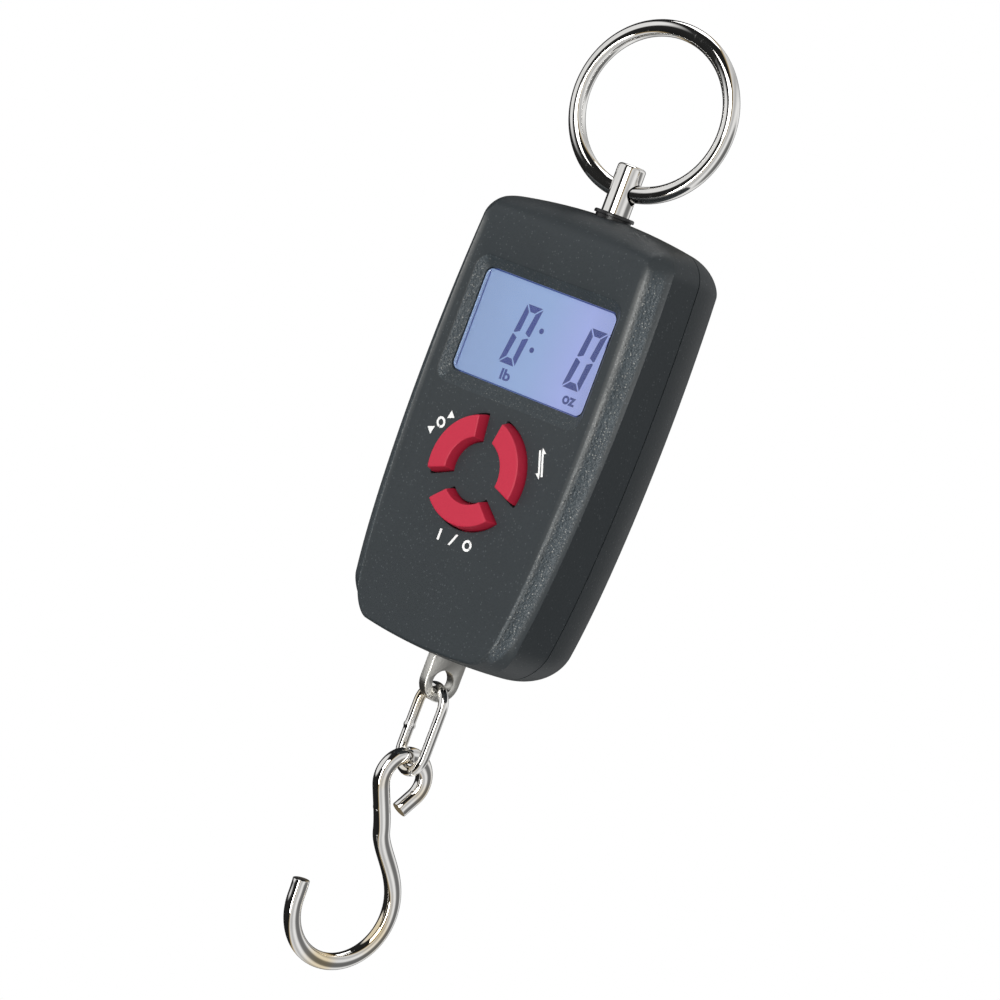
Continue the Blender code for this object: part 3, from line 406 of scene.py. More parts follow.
def loft(sections, closed=False):
    """Points and faces through sections of equal length. Flat caps close an open loft."""
    count = len(sections[0])
    verts = [p for section in sections for p in section]
    faces = []
    rows = len(sections)
    for row in range(rows if closed else rows - 1):
        below = (row + 1) % rows
        for i in range(count):
            j = (i + 1) % count
            faces.append((row * count + i, row * count + j, below * count + j, below * count + i))
    if not closed:
        faces.append(tuple(range(count))[::-1])
        faces.append(tuple((rows - 1) * count + i for i in range(count)))
    return verts, faces


def clamped(value):
    return min(1.0, max(0.0, value))


def kept_inside(point):
    """The point, in metres, moved into the model's own box if it lies outside."""
    return [min(max(point[k], CAD_LOW[k]), CAD_HIGH[k]) for k in range(3)]


def add_object(name, data):
    made = bpy.data.objects.new(name, data)
    bpy.context.scene.collection.objects.link(made)
    return made


def new_piece(name, verts, faces, look=None, smooth=SHARP_ANGLE):
    """A closed solid from points in millimetres, kept inside the model's own box."""
    mesh = bpy.data.meshes.new(name)
    mesh.from_pydata([kept_inside([c * MM for c in p]) for p in verts], [], faces)
    work = bmesh.new()
    work.from_mesh(mesh)
    bmesh.ops.remove_doubles(work, verts=work.verts, dist=1e-7)
    bmesh.ops.recalc_face_normals(work, faces=work.faces)
    work.to_mesh(mesh)
    work.free()
    made = add_object(name, mesh)
    if look:
        mesh.materials.append(look)
    shade(mesh, smooth)
    return made


def lofted(name, sections, look=None, closed=False, smooth=SHARP_ANGLE):
    return new_piece(name, *loft(sections, closed), look, smooth)


def shade(mesh, smooth):
    mesh.shade_smooth()
    mesh.set_sharp_from_angle(angle=math.radians(smooth))


def evaluated_mesh(piece):
    bpy.context.view_layer.update()
    graph = bpy.context.evaluated_depsgraph_get()
    return bpy.data.meshes.new_from_object(piece.evaluated_get(graph), depsgraph=graph)


def settle(piece, smooth=SHARP_ANGLE):
    """Turns a piece's modifiers into its plain mesh."""
    result = evaluated_mesh(piece)
    looks = list(piece.data.materials)
    piece.modifiers.clear()
    piece.data = result
    if looks and not result.materials:
        result.materials.append(looks[0])
    shade(result, smooth)
    return piece


def combine(piece, tool, operation):
    modifier = piece.modifiers.new("Shape", "BOOLEAN")
    modifier.operation = operation
    modifier.solver = "MANIFOLD"
    modifier.object = tool
    result = evaluated_mesh(piece)
    if not result.polygons:
        raise RuntimeError(f"{piece.name}: a cut left nothing")
    piece.modifiers.clear()
    piece.data = result
    bpy.data.objects.remove(tool)


def cut(piece, tool):
    combine(piece, tool, "DIFFERENCE")


def join(piece, tool):
    combine(piece, tool, "UNION")


def along_y(outline, y):
    return [(x, y, z) for x, z in outline]


def stack(name, levels, look=None, smooth=SHARP_ANGLE):
    """A solid through flat outlines, each given as (outline, y)."""
    return lofted(name, [along_y(outline, y) for outline, y in levels], look, smooth=smooth)


def circle(x, z, radius, steps=48):
    return [
        (x + radius * math.cos(2 * math.pi * i / steps), z + radius * math.sin(2 * math.pi * i / steps))
        for i in range(steps)
    ]


def rectangle(x0, x1, z0, z1):
    return [(x0, z0), (x1, z0), (x1, z1), (x0, z1)]


def soft_rectangle(x0, x1, z0, z1, radius, steps=12):
    points = []
    for cx, cz, quarter in ((x1, z1, 0), (x0, z1, 1), (x0, z0, 2), (x1, z0, 3)):
        mx = cx - radius if cx == x1 else cx + radius
        mz = cz - radius if cz == z1 else cz + radius
        for k in range(steps + 1):
            angle = math.pi / 2 * (quarter + k / steps)
            points.append((mx + radius * math.cos(angle), mz + radius * math.sin(angle)))
    return points


def round_bar(name, x, z, levels, steps=48, look=None):
    """A solid turned about a line along Y, from (radius, y) levels."""
    return stack(name, [(circle(x, z, radius, steps), y) for radius, y in levels], look)


def turned(name, profile, look=None, closed=False):
    """A solid turned about the load axis from (radius, z) levels."""
    sections = []
    for radius, z in profile:
        sections.append([(x, y, z) for x, y in circle(0, 0, radius, 96)])
    return lofted(name, sections, look, closed)


def turn_about_z(points, degrees):
    c = math.cos(math.radians(degrees))
    s = math.sin(math.radians(degrees))
    return [(x * c - y * s, x * s + y * c, z) for x, y, z in points]


def rounded(points, radius, steps=8):
    result = []
    count = len(points)
    for i in range(count):
        here = Vector(points[i])
        before = Vector(points[i - 1]) - here
        after = Vector(points[(i + 1) % count]) - here
        if before.angle(after) > math.radians(150):
            result.append(tuple(here))
            continue
        reach = min(radius, 0.49 * before.length, 0.49 * after.length)
        start = here + before.normalized() * reach
        end = here + after.normalized() * reach
        for k in range(steps + 1):
            t = k / steps
            result.append(tuple(start * (1 - t) ** 2 + here * (2 * t * (1 - t)) + end * t**2))
    return result


def dish_outline(share):
    side = LCD_W / 2 + DISH_SIDE * share + GAP / 2
    return soft_rectangle(
        -side,
        side,
        LCD_Z - LCD_H / 2 - GAP / 2 - DISH_BOTTOM * share,
        LCD_Z + LCD_H / 2 + GAP / 2 + DISH_TOP * share,
        LCD_CORNER + GAP / 2 + (DISH_CORNER - LCD_CORNER) * share,
    )


def key_outline(direction, out):
    radii = ((KEY_R_OUT + out, KEY_GAP_OUT - out), (KEY_R_IN - out, KEY_GAP_IN - out))
    points = []
    for turn, (radius, half_gap) in zip((1, -1), radii):
        reach = math.radians(60) - math.asin(half_gap / radius)
        for k in range(25):
            angle = math.radians(direction) + turn * reach * (1 - 2 * k / 24)
            points.append((radius * math.cos(angle), KEY_Z + radius * math.sin(angle)))
    return rounded(points, KEY_CORNER + max(0.0, out))


def bosses():
    high_x = CASE_W / 2 - 8.2
    low_x = CASE_W / 2 - 9.9
    high = CASE_TOP - 11.4
    low = CASE_BOTTOM + 11.3
    return [(-high_x, high), (high_x, high), (-low_x, low), (low_x, low)]


def beam_screw_places():
    arm_top = CASE_TOP - ARM_DROP
    return [(11.0, arm_top - 3.0), (11.0, arm_top - 10.0)]


# ---- shared surface effects ----


def node(tree, kind, place, **values):
    made = tree.nodes.new(kind)
    made.location = place
    for key, value in values.items():
        setattr(made, key, value)
    return made


def effect(name, inputs, outputs):
    """An empty shader node group with named sockets. Inputs are (name, kind, default)."""
    tree = bpy.data.node_groups.new(name, "ShaderNodeTree")
    for label, kind, default in inputs:
        socket = tree.interface.new_socket(label, in_out="INPUT", socket_type=kind)
        if default is not None:
            socket.default_value = default
    for label, kind in outputs:
        tree.interface.new_socket(label, in_out="OUTPUT", socket_type=kind)
    return tree, node(tree, "NodeGroupInput", (-900, 0)), node(tree, "NodeGroupOutput", (700, 0))


def ramp(tree, source, place, stops):
    made = node(tree, "ShaderNodeValToRGB", place)
    elements = made.color_ramp.elements
    while len(elements) > 1:
        elements.remove(elements[-1])
    elements[0].position = stops[0][0]
    elements[0].color = stops[0][1]
    for position, colour in stops[1:]:
        elements.new(position).color = colour
    tree.links.new(source, made.inputs[0])
    return made.outputs["Color"]


def grey(value):
    return (value, value, value, 1.0)


def maths(tree, operation, place, *values):
    made = node(tree, "ShaderNodeMath", place, operation=operation)
    for k, value in enumerate(values):
        if isinstance(value, (int, float)):
            made.inputs[k].default_value = value
        else:
            tree.links.new(value, made.inputs[k])
    return made.outputs[0]


def build_grain():
    """Fine pebbled skin of a moulded part, with a few light specks."""
    tree, given, out = effect(
        "moulded_grain",
        [("Vector", "NodeSocketVector", None), ("Scale", "NodeSocketFloat", 1500.0),
         ("Speck Share", "NodeSocketFloat", 0.06)],
        [("Height", "NodeSocketFloat"), ("Tone", "NodeSocketFloat"), ("Speck", "NodeSocketFloat")],
    )
    link = tree.links.new
    cells = node(tree, "ShaderNodeTexVoronoi", (-600, 200), feature="SMOOTH_F1")
    link(given.outputs["Vector"], cells.inputs["Vector"])
    link(given.outputs["Scale"], cells.inputs["Scale"])
    cells.inputs["Smoothness"].default_value = 0.6
    soft = node(tree, "ShaderNodeTexNoise", (-600, -100))
    link(given.outputs["Vector"], soft.inputs["Vector"])
    link(given.outputs["Scale"], soft.inputs["Scale"])
    soft.inputs["Detail"].default_value = 3.0
    height = maths(tree, "SUBTRACT", (-300, 200), soft.outputs["Fac"], cells.outputs["Distance"])
    link(height, out.inputs["Height"])
    broad = node(tree, "ShaderNodeTexNoise", (-600, -350))
    link(given.outputs["Vector"], broad.inputs["Vector"])
    broad.inputs["Scale"].default_value = 90.0
    broad.inputs["Detail"].default_value = 4.0
    tone = maths(tree, "MULTIPLY_ADD", (-300, -200), soft.outputs["Fac"], 0.6, 0.0)
    tone = maths(tree, "MULTIPLY_ADD", (-100, -200), broad.outputs["Fac"], 0.4, tone)
    link(tone, out.inputs["Tone"])
    dots = node(tree, "ShaderNodeTexVoronoi", (-600, -600))
    link(given.outputs["Vector"], dots.inputs["Vector"])
    link(given.outputs["Scale"], dots.inputs["Scale"])
    chosen = node(tree, "ShaderNodeSeparateColor", (-400, -600))
    link(dots.outputs["Color"], chosen.inputs[0])
    picked = maths(tree, "LESS_THAN", (-200, -600), chosen.outputs[0], given.outputs["Speck Share"])
    near = maths(tree, "LESS_THAN", (-200, -780), dots.outputs["Distance"], 0.34)
    speck = maths(tree, "MULTIPLY", (0, -600), picked, near)
    speck = maths(tree, "MULTIPLY", (200, -600), speck, chosen.outputs[1])
    link(speck, out.inputs["Speck"])
    return tree


def build_scuff():
    """Soft smudges and fine scratches from handling."""
    tree, given, out = effect(
        "handling_wear",
        [("Vector", "NodeSocketVector", None), ("Scale", "NodeSocketFloat", 60.0),
         ("Scratch Scale", "NodeSocketFloat", 400.0)],
        [("Smudge", "NodeSocketFloat"), ("Scratch", "NodeSocketFloat")],
    )
    link = tree.links.new
    broad = node(tree, "ShaderNodeTexNoise", (-600, 200))
    link(given.outputs["Vector"], broad.inputs["Vector"])
    link(given.outputs["Scale"], broad.inputs["Scale"])
    broad.inputs["Detail"].default_value = 5.0
    broad.inputs["Roughness"].default_value = 0.6
    smudge = ramp(tree, broad.outputs["Fac"], (-300, 200), [(0.35, grey(0)), (0.7, grey(1))])
    link(smudge, out.inputs["Smudge"])
    stretch = node(tree, "ShaderNodeMapping", (-800, -200))
    stretch.inputs["Rotation"].default_value = (0.3, 0.5, 0.4)
    stretch.inputs["Scale"].default_value = (1.0, 1.0, 0.06)
    link(given.outputs["Vector"], stretch.inputs["Vector"])
    lines = node(tree, "ShaderNodeTexNoise", (-600, -200))
    link(stretch.outputs["Vector"], lines.inputs["Vector"])
    link(given.outputs["Scratch Scale"], lines.inputs["Scale"])
    lines.inputs["Detail"].default_value = 6.0
    scratch = ramp(tree, lines.outputs["Fac"], (-300, -200), [(0.6, grey(0)), (0.68, grey(1))])
    link(scratch, out.inputs["Scratch"])
    return tree


EFFECTS = {}


def use_effect(tree, name, place, vector, **values):
    made = node(tree, "ShaderNodeGroup", place)
    made.node_tree = EFFECTS[name]
    tree.links.new(vector, made.inputs["Vector"])
    for key, value in values.items():
        made.inputs[key.replace("_", " ")].default_value = value
    return made


def mix_colour(tree, place, factor, first, second):
    made = node(tree, "ShaderNodeMix", place, data_type="RGBA")
    for socket, value in ((made.inputs[0], factor), (made.inputs[6], first), (made.inputs[7], second)):
        if isinstance(value, (int, float, tuple)):
            socket.default_value = value
        else:
            tree.links.new(value, socket)
    return made.outputs[2]


def shade_of(colour, amount):
    return tuple(min(1.0, c * amount) for c in colour) + (1.0,)


def start_material(name):
    made = bpy.data.materials.new(name)
    made.use_nodes = True
    tree = made.node_tree
    shader = tree.nodes["Principled BSDF"]
    where = node(tree, "ShaderNodeTexCoord", (-1500, 0)).outputs["Object"]
    return made, tree, shader, where


def set_bump(tree, shader, height, distance):
    bump = node(tree, "ShaderNodeBump", (-250, -400))
    bump.inputs["Strength"].default_value = 1.0
    bump.inputs["Distance"].default_value = distance
    tree.links.new(height, bump.inputs["Height"])
    tree.links.new(bump.outputs["Normal"], shader.inputs["Normal"])


def plastic(name, colour, roughness, scale, depth, spread=0.25):
    """Moulded plastic or rubber with grain, tone changes and handling wear."""
    made, tree, shader, where = start_material(name)
    grain = use_effect(tree, "moulded_grain", (-1200, 200), where, Scale=scale)
    wear = use_effect(tree, "handling_wear", (-1200, -200), where)
    base = mix_colour(
        tree, (-800, 300), grain.outputs["Tone"], shade_of(colour, 1 - spread), shade_of(colour, 1 + spread)
    )
    tree.links.new(base, shader.inputs["Base Color"])
    low = max(0.05, roughness - 0.08)
    rough = maths(tree, "MULTIPLY_ADD", (-800, -100), wear.outputs["Smudge"], -0.06, low + 0.08)
    rough = maths(tree, "MULTIPLY_ADD", (-600, -100), grain.outputs["Tone"], 0.1, rough)
    tree.links.new(rough, shader.inputs["Roughness"])
    set_bump(tree, shader, grain.outputs["Height"], depth)
    return made


def shell_plastic(name, settings):
    """The case: a fine skin everywhere, a coarse spark texture where the attribute grip is 1, and a painted
    highlight along the scoops' inner edge.
    """
    made, tree, shader, where = start_material(name)
    link = tree.links.new
    colour = tuple(settings.case)
    grain = use_effect(
        tree, "moulded_grain", (-1200, 300), where, Scale=1 / settings.grain_size * 0.55, Speck_Share=0.2
    )
    coarse = use_effect(
        tree, "moulded_grain", (-1200, 0), where, Scale=1 / settings.grip_size * 0.9, Speck_Share=0.5
    )
    wear = use_effect(tree, "handling_wear", (-1200, -300), where)
    grip = node(tree, "ShaderNodeAttribute", (-1200, -550), attribute_name="grip").outputs["Fac"]
    fine = mix_colour(
        tree, (-850, 500), grain.outputs["Tone"], shade_of(colour, 0.8), shade_of(colour, 1.25)
    )
    fine_speck = maths(tree, "MULTIPLY", (-1000, 420), grain.outputs["Speck"], 0.09)
    fine = mix_colour(tree, (-650, 500), fine_speck, fine, (0.5, 0.55, 0.58, 1.0))
    rough_tone = mix_colour(
        tree, (-850, 250), coarse.outputs["Tone"], shade_of(colour, 0.6), shade_of(colour, 4.2)
    )
    coarse_speck = maths(tree, "MULTIPLY", (-1000, 130), coarse.outputs["Speck"], 0.75)
    rough_tone = mix_colour(tree, (-650, 250), coarse_speck, rough_tone, (0.42, 0.42, 0.4, 1.0))
    base = mix_colour(tree, (-450, 400), grip, fine, rough_tone)
    # Painted highlight: a lighter, grainy colour along the scoops' inner edge stands in for a lamp's
    # reflection there.
    edge_highlight = node(tree, "ShaderNodeAttribute", (-1200, -750), attribute_name="edge_highlight").outputs["Fac"]
    painted_highlight = maths(tree, "MULTIPLY_ADD", (-1000, -750), coarse.outputs["Tone"], 0.9, 0.1)
    painted_highlight = maths(tree, "MULTIPLY", (-800, -750), painted_highlight, edge_highlight)
    link(mix_colour(tree, (-250, 400), painted_highlight, base, (0.34, 0.34, 0.33, 1.0)), shader.inputs["Base Color"])
    smooth = maths(tree, "MULTIPLY_ADD", (-650, -100), wear.outputs["Smudge"], -0.05, 0.5)
    smooth = maths(tree, "MULTIPLY_ADD", (-450, -100), grip, -0.12, smooth)
    link(smooth, shader.inputs["Roughness"])
    shader.inputs["Specular IOR Level"].default_value = 0.4
    low = maths(tree, "MULTIPLY", (-850, -450), grain.outputs["Height"], 0.07)
    extra = maths(tree, "SUBTRACT", (-850, -620), coarse.outputs["Height"], grain.outputs["Height"])
    extra = maths(tree, "MULTIPLY", (-650, -620), extra, grip)
    height = maths(tree, "MULTIPLY_ADD", (-450, -500), extra, 0.75, low)
    set_bump(tree, shader, height, 0.00022)
    return made


def metal(name, colour, roughness, tint=None, scratch=0.0000015, pitted=0.0):
    """Plated metal with fine scratches, smudges and, where given, warm patches."""
    made, tree, shader, where = start_material(name)
    wear = use_effect(tree, "handling_wear", (-1200, 0), where, Scale=130.0, Scratch_Scale=900.0)
    grain = use_effect(tree, "moulded_grain", (-1200, -400), where, Scale=2600.0)
    base = mix_colour(
        tree, (-800, 300), wear.outputs["Smudge"], shade_of(colour, 1.0), shade_of(colour, 0.9)
    )
    if tint:
        patch = node(tree, "ShaderNodeTexNoise", (-1200, 500))
        patch.inputs["Scale"].default_value = 75.0
        patch.inputs["Detail"].default_value = 1.5
        tree.links.new(where, patch.inputs["Vector"])
        mask = ramp(tree, patch.outputs["Fac"], (-1000, 500), [(0.56, grey(0)), (0.68, grey(0.85))])
        base = mix_colour(tree, (-500, 400), mask, base, (*tint, 1.0))
    tree.links.new(base, shader.inputs["Base Color"])
    shader.inputs["Metallic"].default_value = 1.0
    rough = maths(tree, "MULTIPLY_ADD", (-800, -100), wear.outputs["Smudge"], 0.05, roughness)
    rough = maths(tree, "MULTIPLY_ADD", (-600, -100), wear.outputs["Scratch"], 0.08, rough)
    tree.links.new(rough, shader.inputs["Roughness"])
    height = maths(tree, "MULTIPLY", (-800, -400), wear.outputs["Scratch"], -0.4)
    height = maths(tree, "MULTIPLY_ADD", (-600, -400), grain.outputs["Height"], 0.04 + pitted, height)
    set_bump(tree, shader, height, scratch)
    return made


def backlit(name, left, right):
    """The lit display sheet: a cool light that turns violet towards the right, with a fine mesh."""
    made, tree, shader, where = start_material(name)
    place = node(tree, "ShaderNodeMapping", (-1300, 0))
    width = LCD_W * MM
    place.inputs["Location"].default_value = (0.5, 0, 0)
    place.inputs["Scale"].default_value = (1 / width, 1, 1)
    tree.links.new(where, place.inputs["Vector"])
    across = node(tree, "ShaderNodeTexGradient", (-1100, 0))
    tree.links.new(place.outputs["Vector"], across.inputs["Vector"])
    colour = ramp(
        tree,
        across.outputs["Color"],
        (-900, 0),
        [
            (0.0, shade_of(left, 0.93)),
            (0.5, shade_of(left, 1.08)),
            (0.8, shade_of(right, 0.95)),
            (1.0, shade_of(right, 0.78)),
        ],
    )
    wear = use_effect(tree, "handling_wear", (-1100, -300), where, Scale=50.0)
    faint = maths(tree, "MULTIPLY", (-700, -200), wear.outputs["Smudge"], 0.16)
    colour = mix_colour(tree, (-500, 0), faint, colour, shade_of(left, 1.35))
    tree.links.new(colour, shader.inputs["Emission Color"])
    shader.inputs["Emission Strength"].default_value = 0.92
    base = mix_colour(tree, (-500, 300), 0.9, colour, (0.02, 0.03, 0.06, 1.0))
    tree.links.new(base, shader.inputs["Base Color"])
    rough = maths(tree, "MULTIPLY_ADD", (-500, -300), wear.outputs["Smudge"], 0.1, 0.35)
    tree.links.new(rough, shader.inputs["Roughness"])
    return made


def clear_lens(name):
    made, tree, shader, where = start_material(name)
    shader.inputs["Base Color"].default_value = (0.97, 0.98, 1.0, 1.0)
    shader.inputs["Transmission Weight"].default_value = 1.0
    shader.inputs["IOR"].default_value = 1.35
    wear = use_effect(tree, "handling_wear", (-1200, 0), where, Scale=50.0, Scratch_Scale=700.0)
    rough = maths(tree, "MULTIPLY_ADD", (-800, 0), wear.outputs["Scratch"], 0.02, 0.015)
    tree.links.new(rough, shader.inputs["Roughness"])
    set_bump(tree, shader, wear.outputs["Scratch"], 0.00000004)
    return made


# ---- swept wire and repeated parts ----


def tree_for(name, inputs):
    tree = bpy.data.node_groups.new(name, "GeometryNodeTree")
    tree.interface.new_socket("Geometry", in_out="INPUT", socket_type="NodeSocketGeometry")
    sockets = {}
    for label, kind in inputs:
        sockets[label] = tree.interface.new_socket(label, in_out="INPUT", socket_type=kind)
    tree.interface.new_socket("Geometry", in_out="OUTPUT", socket_type="NodeSocketGeometry")
    given = node(tree, "NodeGroupInput", (-800, 0))
    out = node(tree, "NodeGroupOutput", (1000, 0))
    return tree, sockets, given, out


def finish_tree(tree, given, out, geometry):
    real = node(tree, "GeometryNodeRealizeInstances", (600, 0))
    look = node(tree, "GeometryNodeSetMaterial", (800, 0))
    tree.links.new(geometry, real.inputs[0])
    tree.links.new(real.outputs[0], look.inputs["Geometry"])
    tree.links.new(given.outputs["Finish"], look.inputs["Material"])
    tree.links.new(look.outputs[0], out.inputs["Geometry"])


def wire_tree():
    """Sweeps a round wire along a path of points, thinner where the point's size is less."""
    tree, sockets, given, out = tree_for(
        "swept_wire",
        [("Wire Radius", "NodeSocketFloat"), ("Sides", "NodeSocketInt"), ("Finish", "NodeSocketMaterial")],
    )
    link = tree.links.new
    path = node(tree, "GeometryNodeMeshToCurve", (-500, 0))
    size = node(tree, "GeometryNodeInputNamedAttribute", (-500, -250), data_type="FLOAT")
    size.inputs["Name"].default_value = "size"
    ring = node(tree, "GeometryNodeCurvePrimitiveCircle", (-500, -450))
    sweep = node(tree, "GeometryNodeCurveToMesh", (0, 0))
    link(given.outputs["Geometry"], path.inputs["Mesh"])
    link(given.outputs["Sides"], ring.inputs["Resolution"])
    link(given.outputs["Wire Radius"], ring.inputs["Radius"])
    link(path.outputs[0], sweep.inputs["Curve"])
    link(ring.outputs[0], sweep.inputs["Profile Curve"])
    link(size.outputs["Attribute"], sweep.inputs["Scale"])
    sweep.inputs["Fill Caps"].default_value = True
    finish_tree(tree, given, out, sweep.outputs[0])
    return tree, sockets


def repeat_tree():
    """Copies one made part onto each point, each turned by its own fixed amount about Y."""
    tree, sockets, given, out = tree_for(
        "parts_on_points",
        [("Part", "NodeSocketObject"), ("Turn Seed", "NodeSocketInt"), ("Finish", "NodeSocketMaterial")],
    )
    link = tree.links.new
    part = node(tree, "GeometryNodeObjectInfo", (-500, -200))
    turn = node(tree, "FunctionNodeRandomValue", (-500, -450), data_type="FLOAT_VECTOR")
    turn.inputs[0].default_value = (0, 0, 0)
    turn.inputs[1].default_value = (0, math.pi, 0)
    copies = node(tree, "GeometryNodeInstanceOnPoints", (0, 0))
    link(given.outputs["Part"], part.inputs["Object"])
    link(given.outputs["Turn Seed"], turn.inputs["Seed"])
    link(given.outputs["Geometry"], copies.inputs["Points"])
    link(part.outputs["Geometry"], copies.inputs["Instance"])
    link(turn.outputs[0], copies.inputs["Rotation"])
    finish_tree(tree, given, out, copies.outputs[0])
    return tree, sockets


def groove_tree():
    """Cuts a row of finger grooves from a plate."""
    tree, sockets, given, out = tree_for(
        "finger_grooves",
        [("Groove", "NodeSocketObject"), ("Count", "NodeSocketInt"), ("Pitch", "NodeSocketFloat"),
         ("Finish", "NodeSocketMaterial")],
    )
    link = tree.links.new
    tool = node(tree, "GeometryNodeObjectInfo", (-500, -200))
    step = node(tree, "ShaderNodeCombineXYZ", (-500, -400))
    row = node(tree, "GeometryNodeMeshLine", (-300, -300))
    copies = node(tree, "GeometryNodeInstanceOnPoints", (-100, -200))
    real = node(tree, "GeometryNodeRealizeInstances", (100, -200))
    carve = node(tree, "GeometryNodeMeshBoolean", (300, 0), operation="DIFFERENCE", solver="MANIFOLD")
    link(given.outputs["Groove"], tool.inputs["Object"])
    link(given.outputs["Pitch"], step.inputs["Z"])
    link(given.outputs["Count"], row.inputs["Count"])
    link(step.outputs[0], row.inputs["Offset"])
    link(row.outputs[0], copies.inputs["Points"])
    link(tool.outputs["Geometry"], copies.inputs["Instance"])
    link(copies.outputs[0], real.inputs[0])
    link(given.outputs["Geometry"], carve.inputs["Mesh 1"])
    link(real.outputs[0], carve.inputs["Mesh 2"])
    finish_tree(tree, given, out, carve.outputs[0])
    return tree, sockets


def run_tree(piece, built, values):
    tree, sockets = built
    modifier = piece.modifiers.new("Build", "NODES")
    modifier.node_group = tree
    for label, value in values.items():
        modifier[sockets[label].identifier] = value
    settle(piece)
    if not piece.data.polygons:
        raise RuntimeError(f"{piece.name}: the node tree gave nothing")
    return piece


def merged(piece, smooth=SHARP_ANGLE):
    """Clean outward faces, kept inside the model's box."""
    work = bmesh.new()
    work.from_mesh(piece.data)
    bmesh.ops.remove_doubles(work, verts=work.verts, dist=1e-7)
    bmesh.ops.recalc_face_normals(work, faces=work.faces)
    for vert in work.verts:
        vert.co = kept_inside(vert.co)
    work.to_mesh(piece.data)
    work.free()
    shade(piece.data, smooth)
    return piece


def wire(name, path, radius, look, closed, sides=48, sizes=None):
    mesh = bpy.data.meshes.new(name)
    count = len(path)
    edges = [(i, i + 1) for i in range(count - 1)]
    if closed:
        edges.append((count - 1, 0))
    mesh.from_pydata([[c * MM for c in p] for p in path], edges, [])
    size = mesh.attributes.new("size", "FLOAT", "POINT")
    size.data.foreach_set("value", sizes or [1.0] * count)
    made = add_object(name, mesh)
    run_tree(made, TREES["wire"], {"Wire Radius": radius * MM, "Sides": sides, "Finish": look})
    return merged(made)


def on_points(name, part, places, look, seed):
    mesh = bpy.data.meshes.new(name)
    mesh.from_pydata([[c * MM for c in p] for p in places], [], [])
    made = add_object(name, mesh)
    run_tree(made, TREES["repeat"], {"Part": part, "Turn Seed": seed, "Finish": look})
    bpy.data.objects.remove(part)
    return merged(made)


def softened(name, source, look, width, smooth=SHARP_ANGLE):
    """A merged copy of a model part with its sharp edges rounded."""
    mesh = source.data.copy()
    made = add_object(name, mesh)
    mesh.materials.clear()
    mesh.materials.append(look)
    work = bmesh.new()
    work.from_mesh(mesh)
    bmesh.ops.remove_doubles(work, verts=work.verts, dist=1e-6)
    flat = [e for e in work.edges if len(e.link_faces) == 2 and e.calc_face_angle(0) < 0.002]
    bmesh.ops.dissolve_edges(work, edges=flat, use_verts=False)
    work.to_mesh(mesh)
    work.free()
    edge = made.modifiers.new("Edges", "BEVEL")
    edge.width = width * MM
    edge.segments = 2
    edge.limit_method = "ANGLE"
    edge.angle_limit = math.radians(40)
    settle(made, smooth)
    return merged(made, smooth)


TREES = {}
LOOKS = {}


def place_piece(piece, body, *stands_for):
    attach(piece, body)
    if stands_for:
        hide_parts(*stands_for)


def paint(name, look):
    target = NODES[name]
    if not target.material_slots:
        target.data.materials.append(look)
    for holder in target.material_slots:
        holder.material = look


# ---- operators ----


class ScalePiece:
    bl_options = {"REGISTER", "UNDO"}


class SCALE_OT_finishes(ScalePiece, bpy.types.Operator):
    """Make the shared effects and every finish"""

    bl_idname = "fish_scale.finishes"
    bl_label = "Finishes"

    def execute(self, context):
        plastics = context.scene.scale_plastics
        metals = context.scene.scale_metals
        display = context.scene.scale_display
        EFFECTS["moulded_grain"] = build_grain()
        EFFECTS["handling_wear"] = build_scuff()
        TREES["wire"] = wire_tree()
        TREES["repeat"] = repeat_tree()
        TREES["grooves"] = groove_tree()
        chrome = tuple(metals.chrome)
        nickel = tuple(metals.nickel)
        LOOKS["shell"] = shell_plastic("case_plastic", plastics)
        LOOKS["key"] = plastic("key_rubber", tuple(plastics.keys), 0.46, 2200.0, 0.00001, 0.08)
        LOOKS["bush"] = plastic("bush_plastic", tuple(plastics.bush), 0.28, 1500.0, 0.000012)
        LOOKS["print"] = plastic("white_print", tuple(plastics.print_white), 0.5, 2500.0, 0.000004, 0.08)
        LOOKS["chrome"] = metal("bright_chrome", chrome, 0.035, tuple(metals.tint))
        LOOKS["ring"] = metal("ring_chrome", chrome, 0.04)
        LOOKS["nickel"] = metal("dull_nickel", nickel, 0.3, None, 0.00003, 0.5)
        LOOKS["steel"] = metal("zinc_steel", (0.56, 0.57, 0.58), 0.26, None, 0.00001)
        LOOKS["screw"] = metal("dark_screw", (0.30, 0.30, 0.31), 0.28, None, 0.00001)
        LOOKS["alloy"] = metal("milled_alloy", (0.72, 0.73, 0.75), 0.34, None, 0.00002)
        LOOKS["cell"] = metal("cell_can", (0.70, 0.70, 0.69), 0.22, None, 0.000006)
        LOOKS["contact"] = metal("contact_strip", (0.78, 0.66, 0.42), 0.3, None, 0.00001)
        LOOKS["glass"] = clear_lens("clear_window")
        LOOKS["lit"] = backlit("lit_display", tuple(display.left), tuple(display.right))
        LOOKS["digits"] = backlit("display_digits", tuple(display.digits), tuple(display.digits))
        LOOKS["guide"] = plastic("light_guide", (0.55, 0.60, 0.72), 0.25, 900.0, 0.000006, 0.05)
        LOOKS["strip"] = plastic("rubber_strip", (0.42, 0.34, 0.28), 0.65, 4000.0, 0.00004, 0.3)
        LOOKS["board"] = plastic("board_laminate", (0.01, 0.10, 0.04), 0.35, 1800.0, 0.00001, 0.3)
        LOOKS["black"] = plastic("black_part", (0.012, 0.012, 0.013), 0.42, 1400.0, 0.00001)
        LOOKS["gauge"] = plastic("gauge_foil", (0.55, 0.30, 0.08), 0.3, 2400.0, 0.000008)
        return {"FINISHED"}


